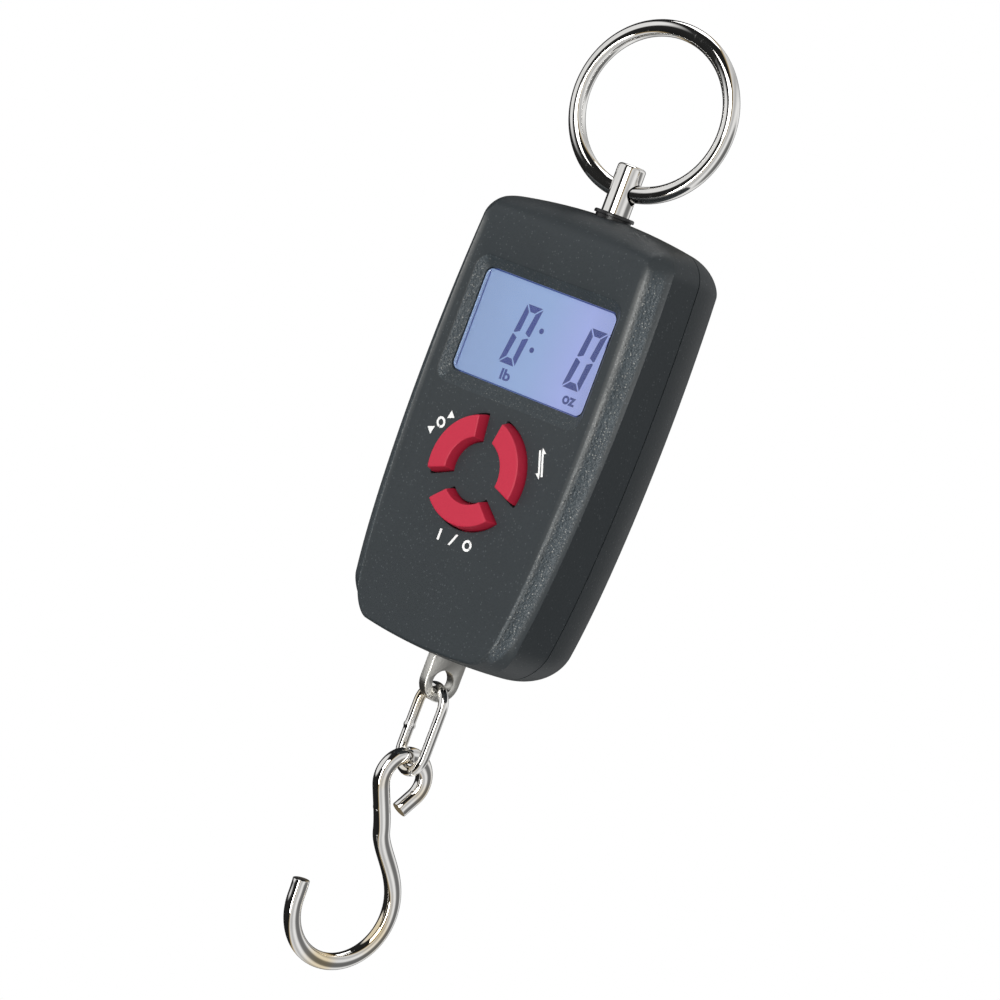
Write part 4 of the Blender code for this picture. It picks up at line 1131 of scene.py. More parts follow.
class SCALE_OT_front(ScalePiece, bpy.types.Operator):
    """Build the front shell with its grip scoops, window dish and key openings"""

    bl_idname = "fish_scale.front_shell"
    bl_label = "Front shell"

    def execute(self, context):
        shell = lofted("front_shell", front_sections(case_outline()), LOOKS["shell"])
        depths = (
            (WALL, WALL, WALL, 1.0),
            (WALL, WALL, WALL, -GAP),
            (WALL + LIP_INSET, WALL + TOP_ROLL * 0.35, WALL + BOTTOM_CROWN * 0.7, 1.0 - LIP_DEPTH_TOP),
            (WALL + PLATEAU_INSET, WALL + TOP_ROLL * 0.75, WALL + BOTTOM_CROWN, INNER_FACE_Y),
        )
        cut(shell, lofted("tool", hollow_sections(case_outline(1), depths)))
        edge = 3.3
        low = LCD_Z - LCD_H / 2 - DISH_BOTTOM - 0.8
        pad = rectangle(-LCD_W / 2 - edge, LCD_W / 2 + edge, low, LCD_Z + LCD_H / 2 + edge)
        join(shell, stack("tool", [(pad, FACE_Y + 0.8), (pad, PAD_Y)]))
        for x, z in bosses():
            join(shell, round_bar("tool", x, z, [(3.0, INNER_FACE_Y - 0.5), (3.0, -GAP / 2)]))
        for side in (-1, 1):
            bar = [(2.3, INNER_FACE_Y - 0.5), (2.3, BOARD_Y - GAP)]
            join(shell, round_bar("tool", side * BOARD_SCREW_X, BOARD_SCREW_Z, bar))
        cut(shell, self.dish())
        for _, direction, _ in KEYS:
            levels = [
                (key_outline(direction, 0.9), FACE_Y - 0.6),
                (key_outline(direction, 0.42), FACE_Y - 0.05),
                (key_outline(direction, 0.32), FACE_Y + 0.12),
                (key_outline(direction, 0.3), FACE_Y + 0.3),
                (key_outline(direction, 0.3), INNER_FACE_Y + 1),
            ]
            cut(shell, stack("tool", levels))
        for x, z in bosses():
            cut(shell, round_bar("tool", x, z, [(1.6, -7.5), (1.6, 1.0)], 24))
        for side in (-1, 1):
            bar = [(1.2, BOARD_Y - 3.5), (1.2, 0.0)]
            cut(shell, round_bar("tool", side * BOARD_SCREW_X, BOARD_SCREW_Z, bar, 24))
        cut_ends(shell)
        shade(shell.data, 30)
        self.mark_grip(shell.data)
        place_piece(shell, "case", "front_case")
        return {"FINISHED"}

    def dish(self):
        levels = [
            (dish_outline(1 + 1.0 / DISH_DEPTH + 0.35), FACE_Y - 1.0),
            (dish_outline(1.18), FACE_Y - 0.02),
            (dish_outline(1.06), FACE_Y + 0.06),
            (dish_outline(0.97), FACE_Y + 0.2),
            (dish_outline(0.85), FACE_Y + 0.36),
            (dish_outline(0.12), LENS_Y - 0.18),
            (dish_outline(0.02), LENS_Y - 0.04),
            (dish_outline(0), LENS_Y + 0.1),
            (dish_outline(0), PAD_Y + 2),
        ]
        return stack("tool", levels)

    def mark_grip(self, mesh):
        """Marks grip over the scoops and dish sides, with more on the left dish side as painted light, and a
        painted highlight line along the scoops' inner edge.
        """
        mark = mesh.attributes.new("grip", "FLOAT", "POINT")
        highlight_mark = mesh.attributes.new("edge_highlight", "FLOAT", "POINT")
        values = []
        painted_highlight = []
        for vert in mesh.vertices:
            x, y, z = (c / MM for c in vert.co)
            inset = half_width(z) - abs(x)
            share = (z - CASE_BOTTOM) / CASE_H
            low = clamped((z - CASE_BOTTOM - 3.4) / 1.8)
            high = clamped((CASE_TOP - 7.0 - z) / 4.0)
            band = clamped((inset - 0.95 - 0.9 * (z - CASE_BOTTOM) / CASE_H) / 0.45)
            band *= clamped((PLATEAU_INSET + 0.6 - inset) / 0.5)
            value = band * low * high * clamped((-y - lip_depth(z) - 0.1) / 0.4)
            in_dish = abs(x) < LCD_W / 2 + DISH_SIDE + 0.3 and abs(z - LCD_Z) < LCD_H / 2 + 3.2
            if in_dish and FACE_Y + 0.15 < y < LENS_Y + 0.05:
                # Painted light: the left dish side gets more of the light grip tone than the rest, as if it
                # caught the lamp.
                value = 0.8 if x < -LCD_W / 2 else 0.3
            values.append(value)
            # The painted highlight line along the plateau edge: wider and stronger towards the top, fading
            # near both ends.
            width = 0.35 + 0.75 * share
            line = math.exp(-(((inset - PLATEAU_INSET + 0.25) / width) ** 2))
            painted_highlight.append(line * low * high * min(1.0, 0.15 + 1.4 * share) * clamped(-y - 11.5))
        mark.data.foreach_set("value", values)
        highlight_mark.data.foreach_set("value", painted_highlight)


def cut_ends(shell):
    """The round openings for the bush above and the tab below."""
    bore = 4.3
    cut(shell, turned("tool", [(bore, CASE_TOP - 8.0), (bore, CASE_TOP + 4.0)]))
    cut(shell, turned("tool", [(5.0, CASE_BOTTOM - 4.0), (5.0, CASE_BOTTOM + 4.4)]))


class SCALE_OT_rear(ScalePiece, bpy.types.Operator):
    """Build the rear shell with its cell wells, screw wells and door channel"""

    bl_idname = "fish_scale.rear_shell"
    bl_label = "Rear shell"

    def execute(self, context):
        shell = lofted("rear_shell", rear_sections(case_outline()), LOOKS["shell"])
        depths = (
            (WALL, WALL, WALL, -1.0),
            (WALL, WALL, WALL, GAP),
            (WALL + 0.6, WALL + 1.6, WALL + 0.6, REAR_DEPTH * 0.55),
            (WALL + REAR_INSET * 0.7, WALL + REAR_ROLL * 0.75, WALL + REAR_INSET * 0.7, REAR_INNER_Y),
        )
        cut(shell, lofted("tool", hollow_sections(case_outline(1), depths)))
        cells = [CASE_BOTTOM + rise for rise in CELL_RISES]
        for z in cells:
            join(shell, round_bar("tool", 0, z, [(11.5, 3.4), (11.5, REAR_INNER_Y + 0.5)], 72))
        for x, z in bosses():
            join(shell, round_bar("tool", x, z, [(3.5, GAP / 2), (3.5, REAR_INNER_Y + 0.5)]))
        for x, z in beam_screw_places():
            join(shell, round_bar("tool", x, z, [(2.6, 3.3), (2.6, REAR_INNER_Y + 0.5)], 32))
        for z in cells:
            cut(shell, round_bar("tool", 0, z, [(10.3, 4.0), (10.3, REAR_DEPTH + 1)], 72))
        reach = DOOR_W / 2 + GAP
        high = CASE_BOTTOM + DOOR_TOP_RISE + GAP
        floor = REAR_DEPTH - DOOR_T - GAP
        levels = []
        for grow, y in ((0, floor), (0, REAR_DEPTH - 0.25), (0.2, REAR_DEPTH - 0.03), (0.9, REAR_DEPTH + 1)):
            levels.append((rectangle(-reach - grow, reach + grow, CASE_BOTTOM - 5, high + grow), y))
        cut(shell, stack("tool", levels))
        for x, z in bosses():
            cut(shell, round_bar("tool", x, z, [(1.6, -1.0), (1.6, REAR_DEPTH + 1)], 24))
            steps = ((2.8, -4.2), (2.8, -0.25), (3.1, 0.02), (3.9, 0.9))
            cut(shell, round_bar("tool", x, z, [(radius, REAR_DEPTH + above) for radius, above in steps]))
        for x, z in beam_screw_places():
            cut(shell, round_bar("tool", x, z, [(1.45, 2.0), (1.45, 7.5)], 24))
        cut_ends(shell)
        shade(shell.data, 30)
        place_piece(shell, "case", "rear_case")
        return {"FINISHED"}


class SCALE_OT_door(ScalePiece, bpy.types.Operator):
    """Build the battery door with its finger grooves"""

    bl_idname = "fish_scale.battery_door"
    bl_label = "Battery door"

    def execute(self, context):
        low = CASE_BOTTOM + DOOR_BOTTOM_RISE
        high = CASE_BOTTOM + DOOR_TOP_RISE
        y0 = REAR_DEPTH - DOOR_T
        levels = []
        edges = [(0.15, y0), (0, y0 + 0.15)]
        edges += [(0, REAR_DEPTH - 0.3), (0.09, REAR_DEPTH - 0.09), (0.3, REAR_DEPTH)]
        for shrink, y in edges:
            side = DOOR_W / 2 - shrink
            levels.append((soft_rectangle(-side, side, low + shrink, high - shrink, 0.8 - shrink), y))
        plate = stack("door_plate", levels, LOOKS["shell"])
        z = high - 13.2
        cutter = []
        for shrink, above in ((0.25, -0.5), (0.06, -0.4), (0, -0.12), (-0.5, 0.5)):
            shape = soft_rectangle(-7 + shrink, 7 - shrink, z - 0.6 + shrink, z + 0.6 - shrink, 0.3, 6)
            cutter.append((shape, REAR_DEPTH + above))
        groove = stack("door_groove", cutter)
        values = {"Groove": groove, "Count": 4, "Pitch": 2.4 * MM, "Finish": LOOKS["shell"]}
        run_tree(plate, TREES["grooves"], values)
        bpy.data.objects.remove(groove)
        place_piece(merged(plate, 30), "door", "battery_door")
        return {"FINISHED"}


class SCALE_OT_screws(ScalePiece, bpy.types.Operator):
    """Build the case screws and the board screws, and give the beam screws their finish"""

    bl_idname = "fish_scale.screws"
    bl_label = "Screws"

    def execute(self, context):
        head = REAR_DEPTH - 2.2
        seat = REAR_DEPTH - 3.9
        levels = [(0.8, -7.0), (1.3, -6.0), (1.3, seat), (2.3, seat), (2.5, seat + 0.2)]
        levels += [(2.5, head - 0.65), (2.42, head - 0.45), (2.2, head - 0.22)]
        levels += [(1.7, head - 0.04), (1.4, head)]
        screw = round_bar("case_screw", 0, 0, levels, 40)
        for wide, tall in ((1.3, 0.35), (0.35, 1.3)):
            deep = [(rectangle(-wide * 0.55, wide * 0.55, -tall * 0.55, tall * 0.55), head - 1.1),
                    (rectangle(-wide, wide, -tall, tall), head + 0.2)]
            cut(screw, stack("tool", deep))
        places = [(x, 0, z) for x, z in bosses()]
        names = [f"case_screw_{k}" for k in (1, 2, 3, 4)]
        place_piece(on_points("case_screws", screw, places, LOOKS["screw"], 7), "case", *names)
        head = BOARD_Y + BOARD_T + GAP
        levels = [(0.6, BOARD_Y - 3.2), (0.9, BOARD_Y - 2.8), (0.9, head), (1.7, head), (1.8, head + 0.1)]
        levels += [(1.8, head + 0.55), (1.6, head + 0.85), (1.3, head + 0.98), (1.0, head + 1.0)]
        screw = round_bar("board_screw", 0, 0, levels, 32)
        for wide, tall in ((0.9, 0.22), (0.22, 0.9)):
            slot = rectangle(-wide, wide, -tall, tall)
            cut(screw, stack("tool", [(slot, head + 0.5), (slot, head + 1.2)]))
        places = [(side * BOARD_SCREW_X, 0, BOARD_SCREW_Z) for side in (-1, 1)]
        screws = on_points("board_screws", screw, places, LOOKS["steel"], 3)
        place_piece(screws, "case", "board_screw_1", "board_screw_2")
        for name in ("beam_screw_1", "beam_screw_2"):
            paint(name, LOOKS["steel"])
        return {"FINISHED"}


class SCALE_OT_keys(ScalePiece, bpy.types.Operator):
    """Build the three curved keys"""

    bl_idname = "fish_scale.keys"
    bl_label = "Keys"

    def execute(self, context):
        crown = FACE_Y - KEY_RISE
        seat = INNER_FACE_Y + GAP
        steps = [(KEY_FLANGE, seat + 0.8), (KEY_FLANGE, seat), (0.0, seat - 0.05), (0.0, FACE_Y)]
        steps += [(-KEY_DRAFT * 0.5, (FACE_Y + crown) / 2), (-KEY_DRAFT, crown + 0.22)]
        for more, above in ((0.03, 0.12), (0.1, 0.04), (0.22, 0), (0.6, 0)):
            steps.append((-KEY_DRAFT - more, crown + above))
        for name, direction, body in KEYS:
            levels = [(key_outline(direction, out), y) for out, y in steps]
            key = stack(name + "_key", levels, LOOKS["key"], 40)
            place_piece(key, body, name)
        return {"FINISHED"}


class SCALE_OT_display(ScalePiece, bpy.types.Operator):
    """Build the window and the digits, and give the lit sheet its finish"""

    bl_idname = "fish_scale.display"
    bl_label = "Display"

    def execute(self, context):
        side = LCD_W / 2 - GAP / 2
        low = LCD_Z - LCD_H / 2 + GAP / 2
        high = LCD_Z + LCD_H / 2 - GAP / 2
        levels = []
        for shrink, y in ((0.12, LENS_Y), (0, LENS_Y + 0.12), (0, LENS_Y + 1.2)):
            edge = side - shrink
            shape = soft_rectangle(-edge, edge, low + shrink, high - shrink, LCD_CORNER - GAP / 2)
            levels.append((shape, y))
        place_piece(stack("display_window", levels, LOOKS["glass"]), "case", "lcd_window")
        paint("lcd_glass", LOOKS["lit"])
        paint("lcd_backlight", LOOKS["guide"])
        paint("lcd_strip", LOOKS["strip"])
        front = GLASS_Y - 0.02
        parts = self.digit(-8.3, -1.5, DIGIT_LOW, DIGIT_HIGH) + self.digit(10.1, 17.1, DIGIT_LOW, DIGIT_HIGH)
        parts += [circle(-0.05, -68.5, 0.62, 20), circle(-0.75, -73.0, 0.62, 20)]
        side = LCD_W / 2 + 0.05
        verts = []
        faces = []
        for outline in parts:
            add_plate(verts, faces, outline, front - 0.03, front)
        for x0, x1, z0, z1 in (
            (-side, -side + 0.28, LCD_Z - 11.6, LCD_Z + 11.6),
            (side - 0.28, side, LCD_Z - 11.6, LCD_Z + 11.6),
            (-side, side, LCD_Z - 11.7, LCD_Z - 11.45),
            (-side, side, LCD_Z + 11.45, LCD_Z + 11.7),
        ):
            add_plate(verts, faces, rectangle(x0, x1, z0, z1), front - 0.08, front - 0.04)
        digits = new_piece("display_digits", verts, faces, LOOKS["digits"], 30)
        place_piece(digits, "case")
        for name, words, x0, x1, z0, z1 in (
            ("unit_lb", "lb", -6.5, -3.7, -81.2, -78.7),
            ("unit_oz", "oz", 11.6, 15.1, -81.1, -79.2),
        ):
            mark = small_text(name, words, (x0, x1, z0, z1), front, LOOKS["digits"])
            place_piece(mark, "case")
        return {"FINISHED"}

    def digit(self, x0, x1, z0, z1):
        """The six lit segments of a zero, leaned over to the right."""
        lean = math.tan(bpy.context.scene.scale_display.slant)
        height = z1 - z0
        width = (x1 - x0) - height * lean
        t = 1.5
        gap = 0.16
        middle = z0 + height / 2

        def placed(points):
            return [(x0 + x + (z - z0) * lean, z) for x, z in points]

        shapes = []
        for base, d in ((z0, 1), (z1, -1)):
            upright = [(0, base + d * gap * 1.5), (t * 0.9, base + d * (t + gap)), (t, middle - d * t * 0.5)]
            upright += [(t * 0.2, middle - d * gap), (0, middle - d * (gap + t * 0.1))]
            for a, s in ((0, 1), (width, -1)):
                shapes.append(placed([(a + s * x, z) for x, z in upright]))
        for z, d in ((z1, -1), (z0, 1)):
            edge = [(gap * 1.6, z), (width - gap * 1.6, z)]
            shapes.append(placed(edge + [(width - t - gap, z + d * t), (t + gap, z + d * t)]))
        return shapes


def add_plate(verts, faces, outline, y0, y1):
    """Adds one flat plate with closed sides to a list of plates."""
    first = len(verts)
    count = len(outline)
    area = sum(
        outline[i][0] * outline[(i + 1) % count][1] - outline[(i + 1) % count][0] * outline[i][1]
        for i in range(count)
    )
    if area < 0:
        outline = outline[::-1]
    verts += along_y(outline, y0) + along_y(outline, y1)
    faces.append(tuple(first + i for i in range(count)))
    faces.append(tuple(first + count + i for i in range(count))[::-1])
    for i in range(count):
        j = (i + 1) % count
        faces.append((first + i, first + count + i, first + count + j, first + j))


def small_text(name, words, box, y, look):
    """Unit letters on the display, as flat plates."""
    curve = bpy.data.curves.new(name, "FONT")
    curve.body = words
    curve.extrude = 0.5
    curve.offset = 0.03
    curve.resolution_u = 4
    holder = add_object(name + "_text", curve)
    mesh = evaluated_mesh(holder)
    bpy.data.objects.remove(holder)
    xs = [v.co.x for v in mesh.vertices]
    ys = [v.co.y for v in mesh.vertices]
    wide = (box[1] - box[0]) / (max(xs) - min(xs))
    tall = (box[3] - box[2]) / (max(ys) - min(ys))
    for vert in mesh.vertices:
        x = box[0] + (vert.co.x - min(xs)) * wide
        z = box[2] + (vert.co.y - min(ys)) * tall
        lift = y - 0.03 * (0.5 + vert.co.z)
        vert.co = (x * MM, lift * MM, z * MM)
    made = add_object(name, mesh)
    mesh.materials.clear()
    mesh.materials.append(look)
    return merged(made, 30)


class SCALE_OT_signs(ScalePiece, bpy.types.Operator):
    """Build the plain signs printed beside the keys"""

    bl_idname = "fish_scale.signs"
    bl_label = "Printed signs"

    def execute(self, context):
        tare = self.zero(0, 0, 1.15, 1.3) + [
            [(-3.5, -0.95), (-1.75, 0), (-3.5, 0.95)],
            [(3.5, -0.95), (3.5, 0.95), (1.75, 0)],
        ]
        arrow = [(-3.4, 0.35), (-2.0, 1.25), (-2.0, 0.62), (2.9, 0.62), (2.9, 0.12), (-2.0, 0.12), (-2.0, 0.1)]
        unit = [arrow, [(-x, -z) for x, z in arrow]]
        slash = [(-0.95, -1.35), (-0.35, -1.35), (0.95, 1.35), (0.35, 1.35)]
        power = [rectangle(-4.3, -3.7, -1.25, 1.25), slash] + self.zero(4.1, 0, 1.25, 1.25)
        signs = (
            ("tare_sign", tare, (-14.4, -94.3), 47),
            ("unit_sign", unit, (14.9, -94.4), -68),
            ("power_sign", power, (0.0, -116.5), 0),
        )
        for name, shapes, (cx, cz), turn in signs:
            c = math.cos(math.radians(turn))
            s = math.sin(math.radians(turn))
            verts = []
            faces = []
            for shape in shapes:
                moved = [(cx + x * c - z * s, cz + x * s + z * c) for x, z in shape]
                add_plate(verts, faces, moved, FACE_Y - 0.02, FACE_Y + 0.01)
            sign = new_piece(name, verts, faces, LOOKS["print"], 30)
            place_piece(sign, "case")
        return {"FINISHED"}

    def zero(self, x, z, wide, tall):
        """A plain ring of short plates."""
        shapes = []
        steps = 28
        for k in range(steps):
            points = []
            for turn, scale in ((k, 1.0), (k + 1, 1.0), (k + 1, 0.56), (k, 0.56)):
                angle = 2 * math.pi * turn / steps
                points.append((x + wide * scale * math.cos(angle), z + tall * scale * math.sin(angle)))
            shapes.append(points)
        return shapes


class SCALE_OT_top(ScalePiece, bpy.types.Operator):
    """Build the hanging ring, the post it runs through and the bush"""

    bl_idname = "fish_scale.top_fitting"
    bl_label = "Ring and post"

    def execute(self, context):
        centre = -(RING_R - RING_WIRE / 2)
        path = []
        for i in range(256):
            angle = 2 * math.pi * i / 256
            path.append((RING_R * math.cos(angle), 0, centre + RING_R * math.sin(angle)))
        path = turn_about_z(path, RING_TURN)
        ring = wire("carry_ring", path, RING_WIRE / 2, LOOKS["ring"], True)
        place_piece(ring, "ring", "hanging_ring")
        crown = HOLE_Z + POST_CROWN
        shoulder = CASE_TOP - ARM_DROP + GAP
        end = CASE_TOP - 25.4 - (GAP * 3 + 0.8 + 3.2 + 0.6)
        r = POST_D / 2
        profile = [(1.6, end), (2.0, end + 0.5), (2.0, shoulder), (r, shoulder), (r, crown - 0.75)]
        for less, below in ((0.04, 0.5), (0.16, 0.28), (0.38, 0.1), (0.7, 0), (1.6, 0)):
            profile.append((r - less, crown - below))
        post = turned("carry_post", profile, LOOKS["ring"])
        sections = []
        flare = ((2.6, 0.0), (2.9, 0.1), (3.2, 0.32), (4.2, 0.9))
        for along, more in [(-reach, more) for reach, more in flare[::-1]] + list(flare):
            radius = POST_HOLE_D / 2 + more * 0.5
            section = [(along, across, z) for across, z in circle(0, HOLE_Z, radius, 64)]
            sections.append(turn_about_z(section, RING_TURN))
        cut(post, lofted("tool", sections))
        shade(post.data, 35)
        place_piece(post, "post", "top_post")
        bore = POST_D / 2 + GAP
        seat = CASE_TOP + 0.35
        roof = CASE_TOP - WALL - 2.4
        profile = [(bore, roof - 1.0), (5.0, roof - 1.0), (5.0, roof), (4.0, roof), (4.0, seat), (4.42, seat)]
        profile += [(4.5, seat + 0.08), (4.5, seat + 0.5), (4.42, seat + 0.68), (4.25, seat + 0.8)]
        profile += [(bore + 0.12, seat + 0.8), (bore, seat + 0.7)]
        place_piece(turned("post_bush", profile, LOOKS["bush"], True), "case", "top_bush")
        for name in ("post_washer", "post_nut"):
            place_piece(softened(name + "_part", NODES[name], LOOKS["steel"], 0.15), "post", name)
        return {"FINISHED"}


class SCALE_OT_bottom(ScalePiece, bpy.types.Operator):
    """Build the swivel tab, the chain link and the hook"""

    bl_idname = "fish_scale.hook_fitting"
    bl_label = "Tab, link and hook"

    def execute(self, context):
        place_piece(softened("swivel_tab", NODES["hook_tab"], LOOKS["nickel"], 0.25), "tab", "hook_tab")
        for name in ("tab_washer", "tab_nut"):
            place_piece(softened(name + "_part", NODES[name], LOOKS["steel"], 0.15), "tab", name)
        self.link()
        self.hook(bpy.context.scene.scale_metals.tip_open / MM)
        return {"FINISHED"}

    def link(self):
        radius = LINK_W / 2
        straight = (LINK_LEN - 2 * radius) / 2
        middle = (LINK_TOP_Z + LINK_LOW_Z) / 2
        path = []
        for centre, first in ((middle + straight, 0), (middle - straight, math.pi)):
            for k in range(49):
                angle = first + math.pi * k / 48
                path.append((radius * math.cos(angle), 0, centre + radius * math.sin(angle)))
            side = -radius if first == 0 else radius
            for k in range(1, 24):
                share = k / 24
                z = centre + (2 * straight) * share * (-1 if first == 0 else 1)
                path.append((side, 0, z))
        sizes = []
        for x, _, z in path:
            near = max(0.0, 1 - abs(z - middle + 0.6) / 0.75) if x < -radius * 0.99 else 0.0
            sizes.append(1.0 + 0.2 * math.sin(near * math.pi / 2) ** 2)
        path = turn_about_z(path, TAB_TURN)
        piece = wire("welded_link", path, LINK_WIRE / 2, LOOKS["chrome"], True, 40, sizes)
        place_piece(piece, "link", "chain_link")

    def hook(self, tip_open):
        path = []
        first = math.radians(180 + EYE_END_TURN)
        last = math.radians(-EYE_LEAVE)
        for k in range(89):
            angle = first + (last - first) * k / 88
            path.append((EYE_R * math.cos(angle), EYE_Z + EYE_R * math.sin(angle)))
        turn = math.radians(EYE_END_TURN)
        start = path[0]
        tail = []
        reaches = [EYE_END_LEN, EYE_END_LEN - 0.06, EYE_END_LEN - 0.16]
        for reach in reaches + [EYE_END_LEN * 0.66, EYE_END_LEN * 0.33]:
            tail.append((start[0] + reach * math.sin(turn), start[1] - reach * math.cos(turn)))
        path = tail + path
        leave = (-math.sin(-last), -math.cos(last))
        lean = (-math.sin(math.radians(NECK_LEAN)), -math.cos(math.radians(NECK_LEAN)))
        start = path[-1]
        neck = (NECK_OFFSET, EYE_Z - NECK_DROP)
        handle = NECK_DROP * 0.28
        before = (start[0] + handle * leave[0], start[1] + handle * leave[1])
        after = (neck[0] - handle * lean[0], neck[1] - handle * lean[1])
        path += bezier(start, before, after, neck, 28)[1:]
        bend = (BEND_OFFSET - BEND_R, EYE_Z - BEND_DROP)
        drop = neck[1] - bend[1]
        before = (neck[0] + 0.28 * drop * lean[0], neck[1] + 0.28 * drop * lean[1])
        path += bezier(neck, before, (bend[0], bend[1] + 0.5 * drop), bend, 48)[1:]
        for k in range(1, 97):
            angle = math.pi * (1 + k / 96)
            path.append((BEND_OFFSET + BEND_R * math.cos(angle), bend[1] + BEND_R * math.sin(angle)))
        for share in (0.35, 0.7, 0.955, 0.985, 1.0):
            path.append((BEND_OFFSET + BEND_R + tip_open * share**2, bend[1] + 3.6 * share))
        sizes = [1.0] * len(path)
        for k, size in enumerate((0.94, 0.985)):
            sizes[k] = size
            sizes[-1 - k] = size
        points = turn_about_z([(0, -s, z) for s, z in path], TAB_TURN)
        piece = wire("carry_hook", points, HOOK_WIRE / 2, LOOKS["chrome"], False, 48, sizes)
        self.scar(piece, path)
        place_piece(piece, "hook", "hook")

    def scar(self, piece, path):
        """A small proud spot on the stem where the plating rack touched it."""
        spot = min(path[95:], key=lambda p: abs(p[1] - (EYE_Z - 7.6)))
        place = Vector(turn_about_z([(0, -spot[0] - HOOK_WIRE / 2, spot[1])], TAB_TURN)[0]) * MM
        core = Vector(turn_about_z([(0, -spot[0], spot[1])], TAB_TURN)[0]) * MM
        reach = 1.1
        for vert in piece.data.vertices:
            distance = (vert.co - place).length / MM
            if distance < reach:
                away = (vert.co - core).normalized()
                vert.co += away * MM * 0.28 * math.cos(distance / reach * math.pi / 2) ** 2


def bezier(start, first, second, end, steps):
    points = []
    for k in range(steps + 1):
        t = k / steps
        s = 1 - t
        point = Vector(start) * s**3 + Vector(first) * (3 * s * s * t)
        point += Vector(second) * (3 * s * t * t) + Vector(end) * t**3
        points.append(tuple(point))
    return points


class SCALE_OT_inside(ScalePiece, bpy.types.Operator):
    """Finish the board, switches, beam, gauges and cells"""

    bl_idname = "fish_scale.inside"
    bl_label = "Inside parts"

    def execute(self, context):
        groups = {
            "board": ("circuit_board",),
            "black": ("key_switch_1", "key_switch_2", "key_switch_3", "converter_chip"),
            "alloy": ("load_beam",),
            "gauge": ("strain_gauge_1", "strain_gauge_2"),
            "cell": ("coin_cell_1", "coin_cell_2"),
            "contact": ("cell_contact_1", "cell_contact_2"),
        }
        for look, names in groups.items():
            for name in names:
                paint(name, LOOKS[look])
        return {"FINISHED"}


